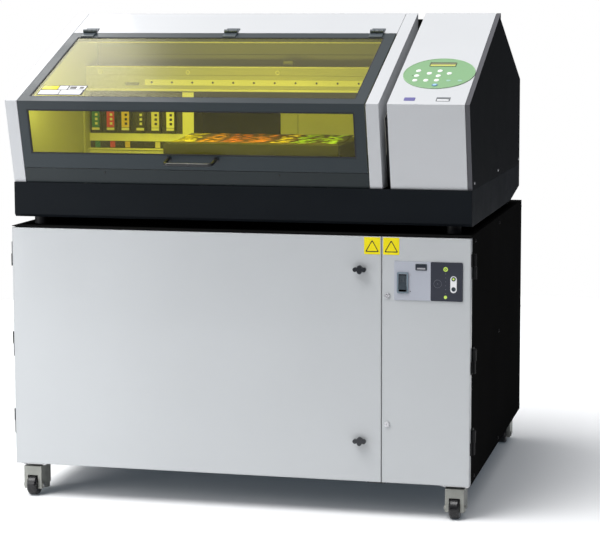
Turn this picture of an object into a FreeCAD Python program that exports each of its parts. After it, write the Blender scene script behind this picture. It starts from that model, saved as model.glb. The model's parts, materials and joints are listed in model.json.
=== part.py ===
"""Flatbed UV printer on a rolling cabinet stand, as a parametric FreeCAD document in millimetres.

The origin is on the floor under the middle of the machine: +Z is up, the doors and the front cover
face -Y, and +X is to the right of a person who stands in front. Every driving size is a cell of the
sheet "dims". Places across the depth are given from the front plane of the stand, "stand_front".
"""
import FreeCAD, Part
import math
import os
import re

import Sketcher

SIZES = {
    # overlap of pieces that are fused, and reach of a drill on each side of a sheet
    "weld_overlap": 1,
    "drill_reach": 20,
    # cabinet of the stand
    "stand_width": 1204,
    "stand_depth": 984,
    "stand_front": -473,
    "stand_bottom": 86,
    "stand_top": 717,
    "sheet_steel": 2,
    "tube_side": 30,
    "grille_low": 120,
    "grille_slot_count": 12,
    "grille_slot_length": 180,
    "grille_slot_height": 6,
    "grille_slot_pitch": 16,
    "back_screw_radius": 4.5,
    "back_screw_height": 2,
    "back_screw_x": 585,
    "back_screw_inner_x": 200,
    "back_screw_margin": 15,
    "duct_radius": 49,
    "duct_hole_room": 1,
    "duct_offset_x": 190,
    "duct_offset_y": 640,
    # doors
    "door_depth": 20,
    "door_gap": 2,
    "door_split_x": 378,
    "door_margin": 3,
    "keeper_width": 18,
    "knob_shaft_radius": 5.95,
    "knob_hub_radius": 8,
    "knob_length": 15,
    "knob_face_gap": 0.3,
    "knob_wing_length": 9,
    "knob_wing_radius": 5.8,
    "knob_wing_across": 11.2,
    "knob_wing_up": 5.2,
    "knob_x": 323.6,
    "upper_knob_z": 629,
    "lower_knob_z": 193.5,
    "cam_length": 42,
    "cam_width": 12,
    "cam_thickness": 4,
    "cam_gap": 1,
    "lock_head_radius": 7,
    "lock_head_depth": 2.7,
    "lock_head_gap": 0.3,
    "lock_groove_width": 1.6,
    "lock_groove_depth": 1.3,
    "lock_stud_length": 29,
    "lock_bar_side": 3,
    "lock_bar_length": 14,
    "lock_bar_gap": 4,
    "lock_shaft_radius": 4,
    "lock_x": 392,
    "upper_lock_z": 564.6,
    "lower_lock_z": 238.5,
    "running_clearance": 0.05,
    # door hinges
    "hinge_half_height": 31,
    "hinge_leaf_length": 26,
    "hinge_leaf_thickness": 3,
    "hinge_axis_offset": 6,
    "hinge_frame_radius": 6,
    "hinge_door_radius": 4.5,
    "hinge_pin_radius": 3,
    "hinge_end_gap": 0.5,
    "frame_leaf_gap": 1,
    "door_leaf_gap": 3,
    "upper_hinge_z": 641,
    "middle_hinge_z": 403.5,
    "lower_hinge_z": 198,
    # switch plate, rocker and filter panel on the right door
    "plate_left_x": 410,
    "plate_split_x": 502,
    "plate_right_x": 582,
    "plate_bottom_z": 555,
    "plate_height": 97,
    "plate_thickness": 2,
    "plate_corner": 3,
    "rocker_x": 431.5,
    "rocker_z": 598,
    "rocker_width": 19,
    "rocker_height": 36,
    "rocker_pivot_depth": 6,
    "rocker_tilt": 8,
    "rocker_room": 4,
    "rocker_side_room": 1,
    "rocker_back": 3,
    "rocker_proud": 3,
    "rocker_valley": 3,
    "trunnion_radius": 3,
    "trunnion_stub": 2,
    "bezel_border": 3,
    "bezel_height": 2,
    "bezel_side_room": 0.5,
    # casters
    "caster_x": 562.5,
    "caster_front_y": 52,
    "caster_back_y": 925,
    "caster_plate_width": 70,
    "caster_plate_length": 64,
    "caster_plate_height": 4,
    "caster_bolt_radius": 5,
    "caster_bolt_height": 3,
    "caster_bolt_inset": 9,
    "kingpin_radius": 8,
    "kingpin_root": 3,
    "housing_width": 48,
    "housing_bottom": 18,
    "housing_top": 78,
    "housing_front": 11,
    "housing_back": 19,
    "bridge_inset": 4,
    "bridge_height": 30,
    "bridge_drop": 1,
    "wheel_radius": 27,
    "wheel_width": 26,
    "wheel_trail": 28.5,
    "wheel_room": 2,
    "wheel_side_room": 0.8,
    "tyre_chamfer": 4,
    "axle_radius": 5,
    "axle_nut_radius": 7,
    "axle_nut_height": 3,
    "foot_offset": 29.5,
    "foot_boss_radius": 21,
    "foot_boss_bottom": 22,
    "foot_boss_top": 72,
    "foot_pad_radius": 18,
    "foot_pad_height": 9,
    "foot_pad_bottom": 8,
    "foot_stem_radius": 6,
    # filter unit in the stand
    "filter_left_x": 20,
    "filter_width": 340,
    "filter_front_y": 93,
    "filter_depth": 800,
    "filter_bottom": 118,
    "filter_height": 520,
    "filter_wall": 2,
    "cartridge_room": 8,
    "cartridge_box_depth": 480,
    "impeller_radius": 120,
    "impeller_depth": 60,
    "impeller_plate": 3,
    "impeller_hub_radius": 22,
    "impeller_setback": 10,
    "blade_count": 10,
    "blade_tip_gap": 2,
    "blade_length": 70,
    "blade_thickness": 3,
    "spindle_radius": 8,
    "spindle_length": 120,
    "motor_radius": 60,
    "motor_length": 40,
    # printer base
    "base_half_width": 601,
    "base_front_y": 18,
    "base_back_y": 930,
    "base_bottom": 739,
    "base_top": 829,
    "base_wall": 3,
    "base_chamfer": 7,
    "base_taper_length": 190,
    "base_taper_rise": 26,
    "foot_radius": 18,
    "foot_inset": 53,
    "rear_foot_y": 700,
    # outline of the covers, from the front plane of the stand
    "cover_front_y": 23,
    "crease_y": -31.5,
    "crease_z": 1042,
    "ridge_y": 506,
    "ridge_z": 1266,
    "ridge_step": 16,
    "rear_z": 1077,
    "cover_wall": 3,
    "left_cover_inner_x": -570,
    "cover_right_x": 339.5,
    "strip_left_x": 343,
    "strip_right_x": 375,
    "tower_left_x": 396,
    "tower_right_x": 589,
    "seam_gap": 1,
    "groove_depth": 65,
    "wall_slot_front": 372,
    "wall_slot_back": 560,
    "wall_slot_bottom": 925,
    "wall_slot_top": 1140,
    "wall_slot_reach": 20,
    "wall_back_inset": 30,
    "wall_back_drop": 47,
    "hood_gap": 1.5,
    "hood_lip": 2,
    # front cover
    "frame_bottom_z": 868,
    "frame_back_y": 377,
    "frame_thickness": 12,
    "apron_thickness": 14,
    "window_left_x": -545,
    "window_right_x": 313,
    "upper_window_low": 28,
    "upper_window_high": 413,
    "front_window_high": 23,
    "front_window_low": 141,
    "window_thickness": 3,
    "window_recess": 1.5,
    "window_cut_reach": 30,
    "handle_x": -114,
    "handle_span": 125,
    "handle_drop": 151,
    "handle_reach": 42,
    "handle_bend": 12,
    "handle_wire_radius": 4.5,
    "handle_foot_radius": 8,
    "handle_foot_height": 3,
    # hinges of the front cover
    "knuckle_radius": 5,
    "knuckle_rise": 5.5,
    "knuckle_length": 12,
    "knuckle_gap": 0.5,
    "knuckle_pin_radius": 2,
    "cover_leaf_length": 22,
    "cover_leaf_thickness": 2,
    "cover_leaf_gap": 1,
    "hinge_seam": 0.8,
    "tongue_overlap": 2,
    "left_cover_hinge_x": -520,
    "middle_cover_hinge_x": -116,
    "right_cover_hinge_x": 288,
    # round key panel on the tower
    "panel_radius": 90,
    "panel_thickness": 1.5,
    "panel_x": 497,
    "panel_rise": 183,
    "panel_key_radius": 5,
    "panel_key_height": 1.2,
    "power_key_drop": 72,
    "power_key_room": 0.4,
    "power_key_height": 2.1,
    "power_key_lift": 1.1,
    # works inside the printer
    "deck_half_width": 590,
    "deck_front_y": 40,
    "deck_depth": 696,
    "deck_thickness": 4,
    "table_rail_width": 20,
    "table_rail_height": 12,
    "table_rail_spacing": 240,
    "table_left_x": -219,
    "table_width": 468,
    "table_front_y": 90,
    "table_depth": 351,
    "table_top_z": 931,
    "table_plate": 10,
    "table_skirt": 60,
    "table_wall": 3,
    "table_corner": 4,
    "saddle_thickness": 8,
    "saddle_margin": 30,
    "saddle_lift": 2,
    "post_radius": 10,
    "post_top_z": 859,
    "sleeve_radius": 15,
    "sleeve_length": 85,
    "post_inset_x": 90,
    "post_inset_y": 60,
    "beam_left_x": -569,
    "beam_right_x": 584,
    "beam_front_y": 470,
    "beam_depth": 60,
    "beam_bottom_z": 1050,
    "beam_height": 70,
    "beam_rail_depth": 4,
    "beam_rail_height": 20,
    "bracket_thickness": 6,
    "bracket_depth": 120,
    "carriage_left_x": 408,
    "carriage_width": 150,
    "carriage_front_y": 384,
    "carriage_depth": 78,
    "carriage_bottom_z": 938,
    "carriage_height": 190,
    "carriage_corner": 8,
    "bay_left_x": -561,
    "bay_width": 273,
    "bay_front_y": 478,
    "bay_depth": 190,
    "bay_bottom_z": 925,
    "bay_height": 120,
    "ink_count": 6,
    "ink_pitch": 44,
    "ink_first_x": -541,
    "ink_width": 28,
    "ink_height": 102,
    "ink_bottom_z": 934,
    "ink_depth": 176,
    "ink_reach": 12,
    "ink_room": 0.5,
    "ink_corner": 2,
}

# the two slanted planes of the covers, as angles
SLOPE = "atan((ridge_z - crease_z) / (ridge_y - crease_y))"
LEAN = "atan((cover_front_y - crease_y) / (crease_z - base_top))"

# planes of the stand that several pieces share
FRAME_FRONT = "stand_front + door_depth + door_gap"
STAND_BACK = "stand_front + stand_depth"

# where the works sit on each other
DECK_TOP = "base_bottom + base_wall + deck_thickness"
SADDLE_BOTTOM = f"{DECK_TOP} + table_rail_height + saddle_lift"

WORD = re.compile(r"\b[a-z]+(?:_[a-z]+)+\b")

# share of its length or unit normal with which an edge or a face must follow an axis to be picked
MOSTLY = 0.9

# size of a sketch's geometry before its constraints move it to its place
ROUGH = 10

DOC = FreeCAD.newDocument("FlatbedUvPrinter")
SHEET = DOC.addObject("Spreadsheet::Sheet", "dims")
PARTS = []


def fill_sheet():
    """Write every size into the sheet as a plain number with an alias."""
    for row, (alias, size) in enumerate(SIZES.items(), 1):
        SHEET.set(f"A{row}", alias)
        SHEET.set(f"B{row}", str(size))
        SHEET.setAlias(f"B{row}", alias)
    DOC.recompute()


def formula(text):
    """Point every size name in a formula at its cell."""
    return WORD.sub(lambda word: "dims." + word.group(0), str(text))


def bind(item, **formulas):
    """Tie properties of an object to formulas over the sheet."""
    for name, text in formulas.items():
        item.setExpression(name, formula(text))
    return item


def place(item, x="0", y="0", z="0", turn=None, axis=(1, 0, 0)):
    """Tie an object's Placement to formulas: a point, and an angle about an axis."""
    if turn is not None:
        item.Placement.Rotation = FreeCAD.Rotation(FreeCAD.Vector(*axis), 1)
        item.setExpression("Placement.Rotation.Angle", formula(turn))
    for letter, text in zip("xyz", (x, y, z)):
        item.setExpression(f"Placement.Base.{letter}", formula(text))
    return item


def lay_on_slope(item, x="0", rise="0"):
    """Place an object on the slanted top: local Y runs up the slope, local Z stands out of it."""
    y = f"stand_front + crease_y + ({rise}) * cos({SLOPE})"
    z = f"crease_z + ({rise}) * sin({SLOPE})"
    return place(item, x, y, z, turn=SLOPE)


def lay_on_lean(item, x="0", drop="0"):
    """Place an object on the leaning front: local Y runs up the face, local Z stands out of it."""
    y = f"stand_front + crease_y + ({drop}) * sin({LEAN})"
    z = f"crease_z - ({drop}) * cos({LEAN})"
    return place(item, x, y, z, turn=f"90 deg + {LEAN}")


def box(name, size, at):
    """A block from its corner, tied to the sheet."""
    block = DOC.addObject("Part::Box", name)
    bind(block, Length=size[0], Width=size[1], Height=size[2])
    return place(block, *at)


def rod(name, radius, length, at, axis="z"):
    """A round bar along an axis, from its start point in the positive direction."""
    bar = DOC.addObject("Part::Cylinder", name)
    bind(bar, Radius=radius, Height=length)
    if axis == "x":
        return place(bar, *at, turn="90", axis=(0, 1, 0))
    if axis == "y":
        return place(bar, *at, turn="90", axis=(-1, 0, 0))
    return place(bar, *at)


def drill(name, radius, at, axis="z", reach="drill_reach"):
    """A round tool that reaches equally far on both sides of a point."""
    start = list(at)
    number = "xyz".index(axis)
    start[number] = f"{at[number]} - ({reach})"
    return rod(name, radius, f"2 * ({reach})", start, axis)


def fuse(name, pieces):
    """One solid from several that overlap or touch."""
    joined = DOC.addObject("Part::MultiFuse", name)
    joined.Shapes = pieces
    joined.Refine = True
    return joined


def cut(name, base, tools):
    """A piece with the tools' shapes taken out of it."""
    tool = tools[0]
    if len(tools) > 1:
        tool = DOC.addObject("Part::Compound", name + "_tools")
        tool.Links = tools
    pared = DOC.addObject("Part::Cut", name)
    pared.Base = base
    pared.Tool = tool
    return pared


def group(name, pieces):
    """Separate solids that share one node."""
    together = DOC.addObject("Part::Compound", name)
    together.Links = pieces
    return together


def part(item, label):
    """Register a finished sub-part under its node name."""
    item.Label = label
    PARTS.append(item)
    return item


def plane_of(body):
    """The body's own XY plane."""
    return next(item for item in body.Origin.OriginFeatures if item.Role == "XY_Plane")


def new_sketch(body, name):
    """An empty sketch on the body's XY plane."""
    sketch = body.newObject("Sketcher::SketchObject", name)
    sketch.AttachmentSupport = [(plane_of(body), "")]
    sketch.MapMode = "FlatFace"
    return sketch


def hold(sketch, kind, places, text):
    """Add a dimension to a sketch and tie it to a formula."""
    number = sketch.addConstraint(Sketcher.Constraint(kind, *places, 1.0))
    sketch.setExpression(f"Constraints[{number}]", formula(text))


def draw_outline(body, name, points):
    """A closed sketch of straight edges whose corners are formulas."""
    sketch = new_sketch(body, name)
    count = len(points)
    angles = [2 * math.pi * i / count for i in range(count)]
    spots = [(ROUGH * math.cos(angle), ROUGH * math.sin(angle)) for angle in angles]
    for i in range(count):
        start = FreeCAD.Vector(*spots[i], 0)
        end = FreeCAD.Vector(*spots[(i + 1) % count], 0)
        sketch.addGeometry(Part.LineSegment(start, end), False)
    for i in range(count):
        sketch.addConstraint(Sketcher.Constraint("Coincident", i, 2, (i + 1) % count, 1))
    for i, (across, up) in enumerate(points):
        hold(sketch, "DistanceX", (-1, 1, i, 1), across)
        hold(sketch, "DistanceY", (-1, 1, i, 1), up)
    return sketch


def draw_circle(body, name, radius, across="0", up="0"):
    """A sketch of one circle."""
    sketch = new_sketch(body, name)
    centre = FreeCAD.Vector(ROUGH, ROUGH, 0)
    sketch.addGeometry(Part.Circle(centre, FreeCAD.Vector(0, 0, 1), ROUGH), False)
    hold(sketch, "DistanceX", (-1, 1, 0, 3), across)
    hold(sketch, "DistanceY", (-1, 1, 0, 3), up)
    hold(sketch, "Radius", (0,), radius)
    return sketch


def rectangle(left, low, right, high):
    """The corners of a rectangle, anticlockwise."""
    return [(left, low), (right, low), (right, high), (left, high)]


def pad(body, sketch, length):
    """Extrude a sketch along local Z."""
    feature = body.newObject("PartDesign::Pad", sketch.Name + "_pad")
    feature.Profile = sketch
    bind(feature, Length=length)
    DOC.recompute()
    return feature


def pocket(body, sketch, depth=None):
    """Cut a sketch into the solid above its plane, to a depth or right through."""
    before = body.Shape.Volume
    feature = body.newObject("PartDesign::Pocket", sketch.Name + "_pocket")
    feature.Profile = sketch
    feature.Reversed = True
    if depth is None:
        feature.Type = "ThroughAll"
    else:
        bind(feature, Length=depth)
    DOC.recompute()
    if body.Shape.Volume >= before:
        raise RuntimeError(f"{feature.Name} cuts nothing")
    return feature


def shell(body, base, wall, open_side):
    """Hollow a body to a wall thickness, leaving off the faces that open_side picks."""
    faces = [f"Face{i}" for i, face in enumerate(base.Shape.Faces, 1)
             if open_side(face.normalAt(0, 0))]
    feature = body.newObject("PartDesign::Thickness", base.Name + "_shell")
    feature.Base = (base, faces)
    feature.Reversed = True
    feature.Join = 1
    bind(feature, Value=wall)
    DOC.recompute()
    return feature


def soften(body, base, radius, pick, kind="Fillet"):
    """Round or chamfer the edges that pick chooses."""
    edges = [f"Edge{i}" for i, edge in enumerate(base.Shape.Edges, 1) if pick(edge)]
    feature = body.newObject(f"PartDesign::{kind}", base.Name + "_soft")
    feature.Base = (base, edges)
    bind(feature, **{"Radius" if kind == "Fillet" else "Size": radius})
    DOC.recompute()
    return feature


def upright(edge):
    """Whether a straight edge runs along local Z."""
    ends = edge.Vertexes
    return len(ends) == 2 and abs(ends[0].Z - ends[1].Z) > MOSTLY * edge.Length


def side_profile(name, points, left, width):
    """A body whose sketch is a side view (depth, height), extruded along +X from a plane."""
    body = DOC.addObject("PartDesign::Body", name)
    extrusion = pad(body, draw_outline(body, name + "_outline", points), width)
    body.Placement.Rotation = FreeCAD.Rotation(FreeCAD.Vector(1, 1, 1), 120)
    place(body, x=left)
    return body, extrusion


def depth(text):
    """A place given from the front plane of the stand, in the row's own frame."""
    return f"stand_front + {text}"


# ---------------------------------------------------------------- cabinet of the stand

def stand_frame():
    """Welded square tube: four posts, and rails around the bottom and the top."""
    left = "-stand_width / 2 + sheet_steel"
    right = "stand_width / 2 - sheet_steel - tube_side"
    back = f"{STAND_BACK} - sheet_steel - tube_side"
    low = "stand_bottom + sheet_steel"
    high = "stand_top - sheet_steel - tube_side"
    inner_width = "stand_width - 2 * sheet_steel"
    inner_depth = f"{back} + tube_side - ({FRAME_FRONT})"
    inner_height = "stand_top - stand_bottom - 2 * sheet_steel"
    tubes = []
    for x in (left, right):
        for y in (FRAME_FRONT, back):
            tubes.append(box("post", ("tube_side", "tube_side", inner_height), (x, y, low)))
        for z in (low, high):
            tubes.append(box("side_rail", ("tube_side", inner_depth, "tube_side"),
                             (x, FRAME_FRONT, z)))
    for y in (FRAME_FRONT, back):
        for z in (low, high):
            tubes.append(box("cross_rail", (inner_width, "tube_side", "tube_side"), (left, y, z)))
    part(fuse("frame_tubes", tubes), "stand_frame")


def stand_plates():
    """Top plate with the duct hole, floor pan and the two side panels."""
    top = box("top_sheet", ("stand_width", "stand_depth", "sheet_steel"),
              ("-stand_width / 2", "stand_front", "stand_top - sheet_steel"))
    hole = drill("top_duct_hole", "duct_radius + duct_hole_room",
                 ("duct_offset_x", depth("duct_offset_y"), "stand_top"))
    part(cut("top_sheet_bored", top, [hole]), "stand_top_plate")
    part(box("floor_sheet",
             ("stand_width", f"{STAND_BACK} - ({FRAME_FRONT}) - sheet_steel", "sheet_steel"),
             ("-stand_width / 2", FRAME_FRONT, "stand_bottom")), "stand_floor_pan")
    sides = [box("side_sheet",
                 ("sheet_steel", f"{STAND_BACK} - ({FRAME_FRONT}) - sheet_steel",
                  "stand_top - stand_bottom - 2 * sheet_steel"),
                 (x, FRAME_FRONT, "stand_bottom + sheet_steel"))
             for x in ("-stand_width / 2", "stand_width / 2 - sheet_steel")]
    part(group("side_sheets", sides), "stand_side_panels")


def stand_back_panel():
    """Back sheet with an exhaust grille of slots and its screw heads."""
    body = DOC.addObject("PartDesign::Body", "back_sheet")
    height = "stand_top - stand_bottom - sheet_steel"
    outline = draw_outline(body, "back_outline",
                           rectangle("0", "0", "stand_width", height))
    pad(body, outline, "sheet_steel")
    left = "duct_offset_x + stand_width / 2 - grille_slot_length / 2"
    slot = draw_outline(body, "grille_slot",
                        rectangle(left, "grille_low", f"{left} + grille_slot_length",
                                  "grille_low + grille_slot_height"))
    first = pocket(body, slot)
    row = body.newObject("PartDesign::LinearPattern", "grille")
    row.Originals = [first]
    row.Direction = (slot, ["V_Axis"])
    bind(row, Occurrences="grille_slot_count",
         Length="(grille_slot_count - 1) * grille_slot_pitch")
    body.Tip = row
    place(body, x="-stand_width / 2", y=STAND_BACK, z="stand_bottom", turn="90")
    screws = [rod("back_screw", "back_screw_radius", "back_screw_height + sheet_steel / 2",
                  (x, f"{STAND_BACK} - sheet_steel / 2", z), axis="y")
              for x in ("-back_screw_x", "-back_screw_inner_x", "back_screw_inner_x", "back_screw_x")
              for z in ("stand_bottom + back_screw_margin", "stand_top - sheet_steel - back_screw_margin")]
    part(fuse("back_sheet_screwed", [body] + screws), "stand_back_panel")


def stand_partition():
    """Upright divider behind the gap between the doors, with a keeper lip for the left door's cams."""
    low = "stand_bottom + sheet_steel + tube_side"
    height = "stand_top - stand_bottom - 2 * sheet_steel - 2 * tube_side"
    web = box("partition_web",
              ("sheet_steel", f"{STAND_BACK} - ({FRAME_FRONT}) - sheet_steel", height),
              ("door_split_x - sheet_steel", FRAME_FRONT, low))
    lip = box("partition_lip", ("keeper_width", "sheet_steel", height),
              ("door_split_x - keeper_width", FRAME_FRONT, low))
    part(fuse("partition_folded", [web, lip]), "stand_partition")


# ---------------------------------------------------------------- doors

def door(label, left, right, holes, window=None):
    """A folded steel tray: a front skin with returns, pierced for its fasteners."""
    body = DOC.addObject("PartDesign::Body", label + "_tray")
    height = "stand_top - stand_bottom - sheet_steel - 2 * door_margin"
    width = f"({right}) - ({left})"
    pad(body, draw_outline(body, label + "_face", rectangle("0", "0", width, height)), "door_depth")
    hollow = rectangle("sheet_steel", "sheet_steel", f"{width} - sheet_steel",
                       f"{height} - sheet_steel")
    pocket(body, draw_outline(body, label + "_hollow", hollow), "door_depth - sheet_steel")
    low = "stand_bottom + door_margin"
    for number, (radius, x, z) in enumerate(holes):
        pocket(body, draw_circle(body, f"{label}_hole_{number}", radius,
                                 f"{x} - ({left})", f"{z} - ({low})"))
    if window:
        x_low, z_low, x_high, z_high = window
        pocket(body, draw_outline(body, label + "_window",
                                  rectangle(f"{x_low} - ({left})", f"{z_low} - ({low})",
                                            f"{x_high} - ({left})", f"{z_high} - ({low})")))
    place(body, x=left, y="stand_front + door_depth", z=low, turn="90")
    part(body, label)


def doors():
    """The wide left door with two knobs and the narrow right door with two locks."""
    knob_hole = "knob_shaft_radius + running_clearance"
    lock_hole = "lock_shaft_radius + running_clearance"
    door("left_door", "-stand_width / 2", "door_split_x - door_gap / 2",
         [(knob_hole, "knob_x", "upper_knob_z"), (knob_hole, "knob_x", "lower_knob_z")])
    half_width = "rocker_width / 2 + rocker_side_room"
    half_height = "rocker_height / 2 + rocker_room"
    door("right_door", "door_split_x + door_gap / 2", "stand_width / 2",
         [(lock_hole, "lock_x", "upper_lock_z"), (lock_hole, "lock_x", "lower_lock_z")],
         window=(f"rocker_x - ({half_width})", f"rocker_z - ({half_height})",
                 f"rocker_x + {half_width}", f"rocker_z + {half_height}"))


def wing_knob(label, z):
    """A four-lobed knob on a shaft through the door, with a cam that hangs down behind the keeper."""
    front = "stand_front - knob_length"
    cam_front = f"{FRAME_FRONT} + sheet_steel + cam_gap"
    hub = rod("knob_hub", "knob_hub_radius", "knob_length - knob_face_gap",
              ("knob_x", front, z), axis="y")
    lobes = [rod("knob_lobe", "knob_wing_radius", "knob_wing_length",
                 (f"knob_x + ({across})", front, f"{z} + ({up})"), axis="y")
             for across, up in (("knob_wing_across", "0"), ("-knob_wing_across", "0"),
                                ("0", "knob_wing_up"), ("0", "-knob_wing_up"))]
    shaft = rod("knob_shaft", "knob_shaft_radius",
                f"{cam_front} + cam_thickness - ({front}) - weld_overlap",
                ("knob_x", f"{front} + weld_overlap", z), axis="y")
    cam = box("knob_cam", ("cam_width", "cam_thickness", "cam_length"),
              ("knob_x - cam_width / 2", cam_front, f"{z} - cam_length + cam_width / 2"))
    part(fuse(label + "_solid", [hub, *lobes, shaft, cam]), label)


def quarter_turn_lock(label, z):
    """A slotted round head on a stud with a cross bar behind the door."""
    front = "stand_front - lock_head_gap - lock_head_depth"
    head = rod("lock_head", "lock_head_radius", "lock_head_depth", ("lock_x", front, z), axis="y")
    stud = rod("lock_stud", "lock_shaft_radius", "lock_stud_length",
               ("lock_x", "stand_front - lock_head_gap - weld_overlap", z), axis="y")
    bar = box("lock_bar", ("lock_bar_side", "lock_bar_side", "lock_bar_length"),
              ("lock_x - lock_bar_side / 2", "stand_front + door_depth + lock_bar_gap",
               f"{z} - lock_bar_length / 2"))
    groove = box("lock_groove", ("2 * lock_head_radius", "lock_groove_depth", "lock_groove_width"),
                 ("lock_x - lock_head_radius", front, f"{z} - lock_groove_width / 2"))
    part(cut(label + "_grooved", fuse(label + "_solid", [head, stud, bar]), [groove]), label)


def door_hinges():
    """Lift-off hinges: frame halves with their pins, and bored halves on each door."""
    frame_halves = []
    for side, name in ((-1, "left"), (1, "right")):
        door_halves = []
        axis_x = f"{side} * (stand_width / 2 + hinge_axis_offset)"
        leaf_x = "stand_width / 2" if side > 0 else "-stand_width / 2 - hinge_leaf_thickness"
        for centre, door_half_is_up in (("upper_hinge_z", True), ("middle_hinge_z", False),
                                        ("lower_hinge_z", False)):
            upper = f"{centre} + hinge_end_gap / 2"
            lower = f"{centre} - hinge_end_gap / 2 - hinge_half_height"
            door_z, frame_z = (upper, lower) if door_half_is_up else (lower, upper)
            axis_y = f"{FRAME_FRONT} - door_gap / 2"
            leaf = ("hinge_leaf_thickness", "hinge_leaf_length", "hinge_half_height")
            pin_z = frame_z if door_half_is_up else f"{frame_z} - hinge_half_height - hinge_end_gap"
            frame_halves.append(fuse("frame_half", [
                box("frame_leaf", leaf, (leaf_x, f"{axis_y} + frame_leaf_gap", frame_z)),
                rod("frame_knuckle", "hinge_frame_radius", "hinge_half_height",
                    (axis_x, axis_y, frame_z)),
                rod("hinge_pin", "hinge_pin_radius", "2 * hinge_half_height + hinge_end_gap",
                    (axis_x, axis_y, pin_z)),
            ]))
            short_leaf = ("hinge_leaf_thickness", "door_depth - door_leaf_gap", "hinge_half_height")
            solid = fuse("door_half", [
                box("door_leaf", short_leaf,
                    (leaf_x, f"{axis_y} - door_depth + door_leaf_gap", door_z)),
                rod("door_knuckle", "hinge_door_radius", "hinge_half_height",
                    (axis_x, axis_y, door_z)),
            ])
            bore = drill("hinge_bore", "hinge_pin_radius + running_clearance",
                         (axis_x, axis_y, centre), reach="2 * hinge_half_height")
            door_halves.append(cut("door_half_bored", solid, [bore]))
        part(group(name + "_door_halves", door_halves), name + "_door_hinge_leaves")
    part(group("frame_halves", frame_halves), "stand_hinge_leaves")


def control_plates():
    """Light switch plate with a rocker bezel, and the dark membrane panel beside it."""
    face = "stand_front - plate_thickness"
    plate = box("switch_sheet", ("plate_split_x - plate_left_x", "plate_thickness", "plate_height"),
                ("plate_left_x", face, "plate_bottom_z"))
    half_width = "rocker_width / 2 + bezel_side_room"
    half_height = "rocker_height / 2 + rocker_room"
    bezel = box("rocker_bezel",
                (f"2 * ({half_width} + bezel_border)", "plate_thickness + bezel_height",
                 f"2 * ({half_height} + bezel_border)"),
                (f"rocker_x - ({half_width}) - bezel_border", f"{face} - bezel_height",
                 f"rocker_z - ({half_height}) - bezel_border"))
    opening = box("rocker_opening",
                  (f"2 * ({half_width})", "2 * drill_reach", f"2 * ({half_height})"),
                  (f"rocker_x - ({half_width})", "stand_front - drill_reach",
                   f"rocker_z - ({half_height})"))
    part(cut("switch_plate_cut", fuse("switch_plate_solid", [plate, bezel]), [opening]),
         "switch_plate")
    membrane = DOC.addObject("PartDesign::Body", "membrane")
    base = pad(membrane, draw_outline(membrane, "membrane_face",
                                      rectangle("0", "0", "plate_right_x - plate_split_x",
                                                "plate_height")), "plate_thickness")
    soften(membrane, base, "plate_corner", upright)
    place(membrane, x="plate_split_x", y="stand_front", z="plate_bottom_z", turn="90")
    part(membrane, "filter_control_panel")


def power_rocker():
    """A rocker with a shallow V face, tilted to its off side about a pivot behind the plate."""
    half = "rocker_height / 2"
    front = "rocker_pivot_depth + plate_thickness + rocker_proud"
    points = [("rocker_back", f"-{half}"), ("rocker_back", half), (f"-({front})", half),
              (f"-({front}) + rocker_valley", "0"), (f"-({front})", f"-{half}")]
    body, _ = side_profile("rocker_key", points, "0", "rocker_width")
    trunnion = rod("rocker_trunnion", "trunnion_radius", "rocker_width + 2 * trunnion_stub",
                   ("-trunnion_stub", "0", "0"), axis="x")
    tilted = fuse("rocker_tilted", [body, trunnion])
    place(tilted, x="rocker_x - rocker_width / 2", y="stand_front + rocker_pivot_depth",
          z="rocker_z", turn="-rocker_tilt")
    part(tilted, "power_rocker")


# ---------------------------------------------------------------- casters

def caster_plate(side, y):
    """A bolted mounting plate with the kingpin's bore."""
    x = f"{side} * caster_x"
    low = "stand_bottom - caster_plate_height"
    plate = box("caster_sheet",
                ("caster_plate_width", "caster_plate_length", "caster_plate_height"),
                (f"{x} - caster_plate_width / 2", f"{y} - caster_plate_length / 2", low))
    heads = [rod("caster_bolt", "caster_bolt_radius", "caster_bolt_height",
                 (f"{x} + {right} * (caster_plate_width / 2 - caster_bolt_inset)",
                  f"{y} + {back} * (caster_plate_length / 2 - caster_bolt_inset)",
                  f"{low} - caster_bolt_height"))
             for right in (-1, 1) for back in (-1, 1)]
    bore = drill("kingpin_bore", "kingpin_radius + running_clearance", (x, y, low))
    return cut("caster_plate_bored", fuse("caster_plate_solid", [plate, *heads]), [bore])


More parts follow.
